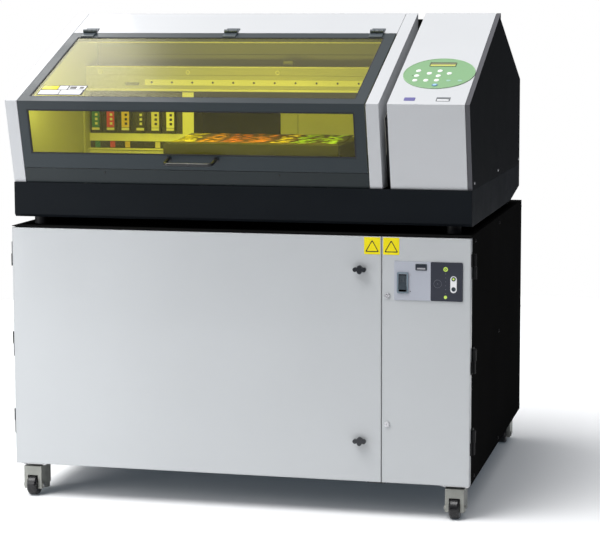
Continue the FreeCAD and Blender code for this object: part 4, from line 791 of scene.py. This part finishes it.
def window_labels():
    """A dark label block on the upper window with plain yellow and white cells."""
    def at(across, up, lift=0.0):
        return on_slope(WINDOW_LABEL_X + across, WINDOW_LABEL_RISE + up, lift - 0.0014)

    plates("window_label_back", "front_cover", glossy("label_ink", (0.04, 0.04, 0.04), 0.4),
           [(at(0, 0), 0.122, 0.058, 0.0004)])
    plates("window_label_yellow", "front_cover", LABEL_YELLOW,
           [(at(-0.037, 0.0145, 0.0004), 0.043, 0.0225, 0.0002)], corner=0.001, edge=0.0001)
    plates("window_label_white", "front_cover", PRINT_WHITE,
           [(at(-0.0015, 0.0145, 0.0004), 0.023, 0.0225, 0.0002),
            (at(0.0365, 0.0145, 0.0004), 0.045, 0.0225, 0.0002),
            (at(-0.0315, -0.0135, 0.0004), 0.054, 0.0255, 0.0002),
            (at(0.0275, -0.0135, 0.0004), 0.059, 0.0255, 0.0002)], corner=0.001, edge=0.0001)
    plates("window_label_marks", "front_cover", glossy("label_grey", (0.10, 0.095, 0.09), 0.4),
           [(at(0.0255, 0.0145, 0.0006), 0.018, 0.015, 0.0001),
            (at(0.0485, 0.0145, 0.0006), 0.012, 0.012, 0.0001)], corner=0.001, edge=0.00005)


# ---------------------------------------------------------------- works inside the printer

# the plane that the ink bay's front sheet lies on
WORKS_Y = 0.004
CHAMBER_LEFT = -0.5685
BEAM_RIGHT = 0.340
WALL_RIGHT = 0.374
LOWER_ROW_Z = 0.899
INK_PITCH = 0.0445
INK_LABEL_Z = 0.990
INK_FOOT_Z = 0.9435
INK_BLOCK_Z = 0.9585
INK_BLOCK_PITCH = 0.0125


def sheet_with_openings():
    """White sheet in front of the ink bay: an upright strip, a bar, a lower band and a bright lip."""
    front = WORKS_Y - 0.0015
    strips = [(CHAMBER_LEFT, 0.931, -0.5665, 1.048), (-0.288, 0.800, -0.255, 1.048),
              (CHAMBER_LEFT, 0.909, -0.288, 0.931), (CHAMBER_LEFT, 0.800, -0.288, 0.889)]
    rows = [((left, front, bottom), (right, WORKS_Y, top), 0.0005) for left, bottom, right, top in strips]
    rows.append(((CHAMBER_LEFT, front - 0.010, 0.8845), (-0.300, front, 0.8885), 0.0008))
    group("works_front_sheet", "machine", SHEET_WHITE, bar, rows)


def lower_ink_row():
    """Dark recess behind the lower opening, with one colour tag for each ink."""
    plates("lower_row_recess", "machine", LOOKS["bay_black"],
           [(facing("front", (-0.428, 0.012, LOWER_ROW_Z)), 0.272, 0.024, 0.002)])
    for number, look in enumerate(INKS):
        tag = facing("front", (-0.5415 + INK_PITCH * number, 0.0100, LOWER_ROW_Z))
        plates(f"lower_ink_tag_{number + 1}", "machine", look, [(tag, 0.0145, 0.0175, 0.002)])


def ink_labels():
    """A coloured label with a pale foot and plain blocks on the front of each cartridge."""
    for number, look in enumerate(INKS):
        low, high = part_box(f"ink_cartridge_{number + 1}")
        x = (low.x + high.x) / 2

        def at(dx, z, lift=0.0):
            return facing("front", (x + dx, low.y - lift, z))

        body = f"cartridge_{number + 1}"
        plates(f"ink_label_{number + 1}", body, look, [(at(0, INK_LABEL_Z), 0.0225, 0.084, 0.0005)])
        plates(f"ink_label_foot_{number + 1}", body, PRINT_WHITE,
               [(at(0, INK_FOOT_Z), 0.0225, 0.007, 0.0006)], edge=0.0001)
        mark = PRINT_WHITE if number in DARK_INKS else PRINT_BLACK
        blocks = [(at(0.002, INK_BLOCK_Z + INK_BLOCK_PITCH * n, 0.0005), 0.0075, 0.0070, 0.0001)
                  for n in range(4)]
        plates(f"ink_label_blocks_{number + 1}", body, mark, blocks, corner=0.0005, edge=0.00005)


BEAM_FACE = -0.008
RAIL_SCREW_LEFT = -0.3735
RAIL_SCREW_Z = 1.0750
RAIL_SCREW_PITCH = 0.0592
RING_SCREW_LEFT = -0.527
RING_SCREW_Z = 1.1035
RING_SCREW_PITCH = 0.258


def beam_details():
    """Rail screws, ring screws, pale edge strips with a painted highlight along the top edge, and two sensor
    blocks on the gantry beam.
    """
    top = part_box("gantry_beam")[1].z
    screws("rail_screws", "machine",
           [facing("front", (RAIL_SCREW_LEFT + RAIL_SCREW_PITCH * n, BEAM_FACE, RAIL_SCREW_Z))
            for n in range(13)], 0.0028, PRINT_BLACK)
    ring = [(0.0068, 0), (0.0066, 0.0009), (0.0034, 0.0012), (0.0030, 0)]
    group("beam_ring_screws", "machine", PRINT_WHITE, hoop,
          [(facing("front", (RING_SCREW_LEFT + RING_SCREW_PITCH * n, -0.003, RING_SCREW_Z)), ring)
           for n in range(4)])
    group("beam_edges_and_painted_highlight", "machine", SHEET_WHITE, bar, [
        # painted highlight: the thin white strip along the beam's top edge
        ((-0.569, -0.0045, top - 0.0035), (BEAM_RIGHT, -0.003, top), 0.0005),
        ((-0.569, -0.0062, 1.0505), (BEAM_RIGHT, -0.003, 1.0575), 0.001),
        ((-0.394, BEAM_FACE, 1.0670), (BEAM_RIGHT, -0.0070, 1.0835), 0.0003),
    ])
    group("beam_sensors", "machine", SHEET_GREY, bar, [
        ((-0.004, 0.030, top), (0.024, 0.052, top + 0.016), 0.0015),
        ((-0.452, -0.0065, 1.066), (-0.412, -0.0030, 1.083), 0.0015),
    ])


def rear_works():
    """Ducts behind the beam, a grey liner there that is painted shade of the shadowed rear of the chamber,
    and the pale panel low at the back.
    """
    group("rear_ducts", "machine", SHEET_WHITE, bar, [
        ((CHAMBER_LEFT, 0.024, 1.1955), (BEAM_RIGHT, 0.028, 1.1985), 0.001),
        ((CHAMBER_LEFT, 0.018, 1.1845), (BEAM_RIGHT, 0.024, 1.1880), 0.001),
    ])
    # painted shade: a grey sheet where the rear of the chamber lies in shadow
    group("rear_painted_shade_sheet", "machine", SHEET_GREY, bar, [
        ((CHAMBER_LEFT, 0.088, 1.120), (BEAM_RIGHT, 0.091, 1.152), 0.001),
        ((CHAMBER_LEFT, 0.092, 1.110), (WALL_RIGHT, 0.094, 1.212), 0.0008),
    ])
    group("rear_low_panel", "machine", SHEET_WHITE, bar, [
        ((-0.082, 0.298, 0.860), (-0.030, 0.300, 1.000), 0.0008),
        ((-0.030, 0.301, 0.860), (WALL_RIGHT, 0.303, 1.000), 0.0008),
    ])


LEAF_INKS = [(0.93, 0.80, 0.06), (0.95, 0.42, 0.05), (0.93, 0.24, 0.05), (0.92, 0.30, 0.06),
             (0.80, 0.62, 0.08), (0.42, 0.72, 0.10), (0.55, 0.88, 0.14)]
LEAVES_PER_SPRAY = 26
SPRAY_PITCH = 0.0638
SHEET_WIDTH = 0.452
SHEET_DEPTH = 0.185
SHEET_THICK = 0.0012
SHEET_CURL = 0.012
SHEET_LEFT = 0.009
SHEET_FRONT = 0.030


def leaf(shape, x, y, z, length, width, angle):
    """A thin, flat, pointed leaf turned by an angle."""
    steps = 8
    outline = [(length * (i / steps - 0.5), width * math.sin(math.pi * i / steps) ** 0.8)
               for i in range(steps + 1)]
    outline += [(a, -b) for a, b in reversed(outline[1:-1])]
    place = Matrix.Translation((x, y, z)) @ Matrix.Rotation(angle, 4, "Z")
    loft(shape, place, [[(a, b, level) for a, b in outline] for level in (0.0, 0.0004)])


def print_leaves(left, front, level):
    """Seven sprays of generic leaves that rise with the sheet, from yellow through red to green."""
    rng = random.Random(4)
    for spray, color in enumerate(LEAF_INKS):
        shape = bmesh.new()
        for number in range(LEAVES_PER_SPRAY):
            along = (number + rng.random()) / LEAVES_PER_SPRAY
            x = left + 0.030 + SPRAY_PITCH * spray + rng.uniform(-0.024, 0.024)
            rise = SHEET_CURL * (0.05 + 0.92 * along) ** 2 + 0.0006
            leaf(shape, x, front + 0.010 + 0.165 * along, level + rise,
                 rng.uniform(0.018, 0.030), rng.uniform(0.0028, 0.0050), rng.uniform(0.1, 1.5))
        piece(f"print_spray_{spray + 1}", shape, "table", glossy(f"leaf_ink_{spray + 1}", color, 0.35))


def printed_sheet():
    """A flexible test print on the table that curls up a little at its back edge."""
    low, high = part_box("work_table")
    left, front = low.x + SHEET_LEFT, low.y + SHEET_FRONT
    shape = bmesh.new()
    across, along = 36, 14
    rows = []
    for j in range(along + 1):
        t = j / along
        y = front + SHEET_DEPTH * t
        z = high.z + 0.0002 + SHEET_CURL * t * t
        rows.append([(left + SHEET_WIDTH * i / across + 0.002 * math.sin(7 * t + i), y,
                      z + 0.0006 * math.sin(0.9 * i) * t) for i in range(across + 1)])
    tops = [[shape.verts.new((x, y, z + SHEET_THICK)) for x, y, z in row] for row in rows]
    bottoms = [[shape.verts.new(point) for point in row] for row in rows]
    for j in range(along):
        for i in range(across):
            shape.faces.new((tops[j][i], tops[j][i + 1], tops[j + 1][i + 1], tops[j + 1][i]))
            shape.faces.new((bottoms[j][i], bottoms[j + 1][i], bottoms[j + 1][i + 1], bottoms[j][i + 1]))
    rim = ([(0, i) for i in range(across + 1)] + [(j, across) for j in range(1, along + 1)]
           + [(along, i) for i in range(across - 1, -1, -1)] + [(j, 0) for j in range(along - 1, 0, -1)])
    for (a, b), (c, d) in zip(rim, rim[1:] + rim[:1]):
        shape.faces.new((tops[a][b], bottoms[a][b], bottoms[c][d], tops[c][d]))
    item = piece("printed_sheet", shape, "table", print_ground())
    for polygon in item.data.polygons:
        polygon.use_smooth = True
    print_leaves(left, front, high.z + 0.0014)


EYELET_PITCH = (0.0314, 0.03)


def table_details():
    """Rows of small vacuum eyelets over the table's top, behind and under the print."""
    low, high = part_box("work_table")
    eyelet = [(0.0022, 0), (0.0021, 0.0003), (0.0012, 0.0003), (0.0012, 0)]
    rows = []
    for i in range(14):
        for j in range(4):
            x, y = low.x + 0.03 + i * EYELET_PITCH[0], high.y - 0.02 - j * EYELET_PITCH[1]
            rows.append((facing("up", (x, y, high.z)), eyelet, 10))
    group("table_eyelets", "table", METAL, hoop, rows)


# ---------------------------------------------------------------- stand, back and sides

FLANK_SCREW_Y = (-0.42, 0.0, 0.43)
FLANK_SCREW_Z = 0.845


def panel_screws():
    """Screws round the stand's side panels, the rear cover and the side covers."""
    low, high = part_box("stand_side_panels")
    spots = []
    for z in (low.z + 0.015, (low.z + high.z) / 2, high.z - 0.015):
        for y in (low.y + 0.045, 0.03, high.y - 0.018):
            spots.append(facing("right", (high.x, y, z)))
            spots.append(facing("left", (low.x, y, z)))
    screws("stand_panel_screws", "machine", spots, 0.0045, LOOKS["hinge_black"])
    low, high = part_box("rear_cover")
    spots = [facing("back", (x, high.y, z)) for x in (-0.55, -0.20, 0.20, 0.57)
             for z in (low.z + 0.014, 1.060)]
    for side, x in (("right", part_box("tower_side_cover")[1].x), ("left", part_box("left_side_cover")[0].x)):
        spots += [facing(side, (x, y, FLANK_SCREW_Z)) for y in FLANK_SCREW_Y]
    screws("printer_cover_screws", "machine", spots, 0.0035)


SOCKET_Z = 0.905
LOUVRE_LEFT = -0.10
LOUVRE_LOW_Z = 0.900
LOUVRE_PITCH = 0.013


def rear_fittings():
    """Louvres, mains inlet, data sockets and a blank rating plate on the upright back."""
    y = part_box("rear_cover")[1].y
    rows = []
    for column in range(2):
        for n in range(9):
            x, z = LOUVRE_LEFT + 0.30 * column, LOUVRE_LOW_Z + LOUVRE_PITCH * n
            rows.append((facing("back", (x, y, z)), 0.22, 0.0075, 0.0022))
    plates("rear_louvres", "machine", LOOKS["cover_black"], rows, 0.0035, 0.0012)
    socket = facing("back", (-0.47, y, SOCKET_Z))
    group("mains_inlet", "machine", LOOKS["knob_black"], border,
          [(socket, 0.060, 0.052, 0.034, 0.026, 0.0040, 0.004, 0.001)])
    pins = [(-0.007, 0.003), (0.0, -0.004), (0.007, 0.003)]
    plates("mains_inlet_pins", "machine", METAL,
           [(socket @ Matrix.Translation((dx, dy, 0)), 0.0022, 0.006, 0.0030) for dx, dy in pins],
           0.0005, 0.0002)
    group("data_sockets", "machine", METAL, border,
          [(facing("back", (-0.38 + dx, y, SOCKET_Z)), 0.022, 0.020, 0.014, 0.012, 0.0025, 0.002)
           for dx in (-0.016, 0.016)])
    plates("rating_plate", "machine", PRINT_WHITE,
           [(facing("back", (-0.43, y, 0.985)), 0.09, 0.05, 0.0005)])


def filter_pleats():
    """Pleated face of the filter block, inside its open housing."""
    low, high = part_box("filter_cartridge")
    shape = bmesh.new()
    pitch, deep, thick = 0.012, 0.0062, 0.0008
    count = int((high.x - low.x - 0.016) / pitch)
    front = []
    for n in range(2 * count + 1):
        front.append((low.x + 0.008 + n * pitch / 2, low.y - (deep if n % 2 else 0.0006)))
    outline = front + [(x, y + thick) for x, y in reversed(front)]
    rings = [[(x, y, z) for x, y in outline] for z in (low.z + 0.008, high.z - 0.008)]
    loft(shape, Matrix.Identity(4), rings)
    piece("filter_pleats", shape, "machine", LOOKS["filter_media"])
    place = facing("front", ((low.x + high.x) / 2, low.y, (low.z + high.z) / 2))
    width, height = high.x - low.x, high.z - low.z
    group("filter_rim", "machine", SHEET_WHITE, border,
          [(place, width, height, width - 0.014, height - 0.014, 0.0068, 0.002)])


FOOT_NUT_Z = 0.0168
AXLE_Z = 0.027
NUT_PROFILE = [(0.011, 0), (0.0115, 0.0006), (0.0115, 0.0044), (0.011, 0.005), (0.0062, 0.005), (0.0062, 0)]
CAP_PROFILE = [(0.0055, 0), (0.0053, 0.0008), (0.0030, 0.0012)]


def caster_details():
    """Nuts on the screw feet and hexagonal caps on the axles."""
    for end in ("front", "rear"):
        for hand in ("left", "right"):
            low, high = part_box(f"caster_housing_{end}_{hand}")
            body = f"swivel_{end}_{hand}"
            foot = facing("up", ((low.x + high.x) / 2, high.y - 0.020, FOOT_NUT_Z))
            group(f"foot_nut_{end}_{hand}", body, METAL, hoop, [(foot, NUT_PROFILE, 6)])
            caps = [(facing(side, (x, low.y + 0.011, AXLE_Z)), CAP_PROFILE, 6)
                    for x, side in ((low.x, "left"), (high.x, "right"))]
            group(f"axle_caps_{end}_{hand}", body, METAL, turned, caps)


# ---------------------------------------------------------------- stage, light and camera

# brightness of the dome from its dark side to overhead, and how far its bright part leans to -X
DOME = [(0.0, (0.10, 0.105, 0.12)), (0.40, (0.165, 0.17, 0.185)), (0.95, (1.05, 1.05, 1.05))]
DOME_LEAN = -0.35
SUN_WAY = (0.38, 0.30, -1.0)
SUN_STRENGTH = 2.9
SUN_ANGLE = 40
# name, place, aim, size, power, colour and spread in degrees
SOFTBOXES = [
    ("fill", (-1.45, -1.50, 0.55), (-0.45, -0.45, 0.25), (0.9, 0.8), 5.6, (0.98, 0.99, 1), 120),
    ("window_card", (-1.90, 1.95, 3.35), (-0.45, -0.15, 1.18), (0.9, 0.9), 13, (1, 1, 1), 180),
    ("works_light", (-0.11, -0.465, 1.022), (-0.11, 0.0, 0.965), (0.82, 0.03), 1.6, (1, 1, 1), 180),
]
FLOOR_RADIUS = 3.4
FLOOR_GLOW = (0.040, 0.050, 0.060)


def floor():
    """A round pale floor with a faint cool glow, which lifts the shadows as the photograph's do."""
    shape = bmesh.new()
    shape.faces.new([shape.verts.new(point) for point in circle(FLOOR_RADIUS, 0.0, 96)])
    look = Look("floor_pale", (0.80, 0.80, 0.805), 0.9, Specular_IOR_Level=0.1,
                Emission_Color=(*FLOOR_GLOW, 1), Emission_Strength=1.0)
    look.tint(look.noise(1.5, 4.0), 0.01)
    mesh_object("floor", shape, look.material)


def softbox(name, place, aim, size, power, color, spread):
    """A rectangular studio light that points at a spot, out of the camera's sight."""
    data = bpy.data.lights.new(name, "AREA")
    data.shape = "RECTANGLE"
    data.size, data.size_y = size
    data.energy = power
    data.color = color
    data.spread = math.radians(spread)
    item = add_object(name, data)
    item.location = place
    item.rotation_euler = (Vector(aim) - Vector(place)).to_track_quat("-Z", "Y").to_euler()
    item.visible_camera = False


def dome_light():
    """A world that is bright overhead and to the left, and plain white to the camera."""
    world = bpy.data.worlds.new("studio")
    world.use_nodes = True
    bpy.context.scene.world = world
    tree = world.node_tree

    def node(kind):
        return tree.nodes.new(kind)

    split = node("ShaderNodeSeparateXYZ")
    tree.links.new(node("ShaderNodeTexCoord").outputs["Generated"], split.inputs["Vector"])
    lean = node("ShaderNodeMath")
    lean.operation = "MULTIPLY_ADD"
    tree.links.new(split.outputs["X"], lean.inputs[0])
    lean.inputs[1].default_value = DOME_LEAN
    tree.links.new(split.outputs["Z"], lean.inputs[2])
    dome = node("ShaderNodeValToRGB")
    tree.links.new(lean.outputs["Value"], dome.inputs["Fac"])
    set_stops(dome, DOME)
    choice = node("ShaderNodeMix")
    choice.data_type = "RGBA"
    choice.inputs[7].default_value = (1, 1, 1, 1)
    tree.links.new(node("ShaderNodeLightPath").outputs["Is Camera Ray"], choice.inputs[0])
    tree.links.new(dome.outputs["Color"], choice.inputs[6])
    tree.links.new(choice.outputs[2], tree.nodes["Background"].inputs["Color"])


def studio():
    """The dome, a soft sun, a fill from the left, a glare card behind and a light inside the printer."""
    dome_light()
    sun = bpy.data.lights.new("sun", "SUN")
    sun.energy = SUN_STRENGTH
    sun.angle = math.radians(SUN_ANGLE)
    add_object("sun", sun).rotation_euler = Vector(SUN_WAY).to_track_quat("-Z", "Y").to_euler()
    for row in SOFTBOXES:
        softbox(*row)


LENS = 110.46
SHIFT = (-0.0833, -0.0783)
VIEWPOINT = (1.283, -4.924, 1.236)
PITCH = 90 - 6.22
TURN = 12.49


def camera():
    """The photograph's viewpoint: a long lens with a small shift."""
    data = bpy.data.cameras.new("camera")
    data.lens = LENS
    data.sensor_width = 36
    data.shift_x, data.shift_y = SHIFT
    item = add_object("camera", data)
    item.location = VIEWPOINT
    item.rotation_euler = (math.radians(PITCH), 0, math.radians(TURN))
    bpy.context.scene.camera = item


def build():
    """Dress the frame, add every piece, then set up the studio."""
    bpy.context.scene.view_settings.view_transform = "Standard"
    dress_frame()
    caution_labels()
    door_linings()
    switch_plate_details()
    filter_panel_details()
    door_stop()
    key_panel_details()
    tower_badges()
    window_gaskets()
    window_labels()
    apron_screws()
    sheet_with_openings()
    lower_ink_row()
    ink_labels()
    beam_details()
    rear_works()
    printed_sheet()
    table_details()
    panel_screws()
    rear_fittings()
    filter_pleats()
    caster_details()
    floor()
    studio()
    camera()


build()
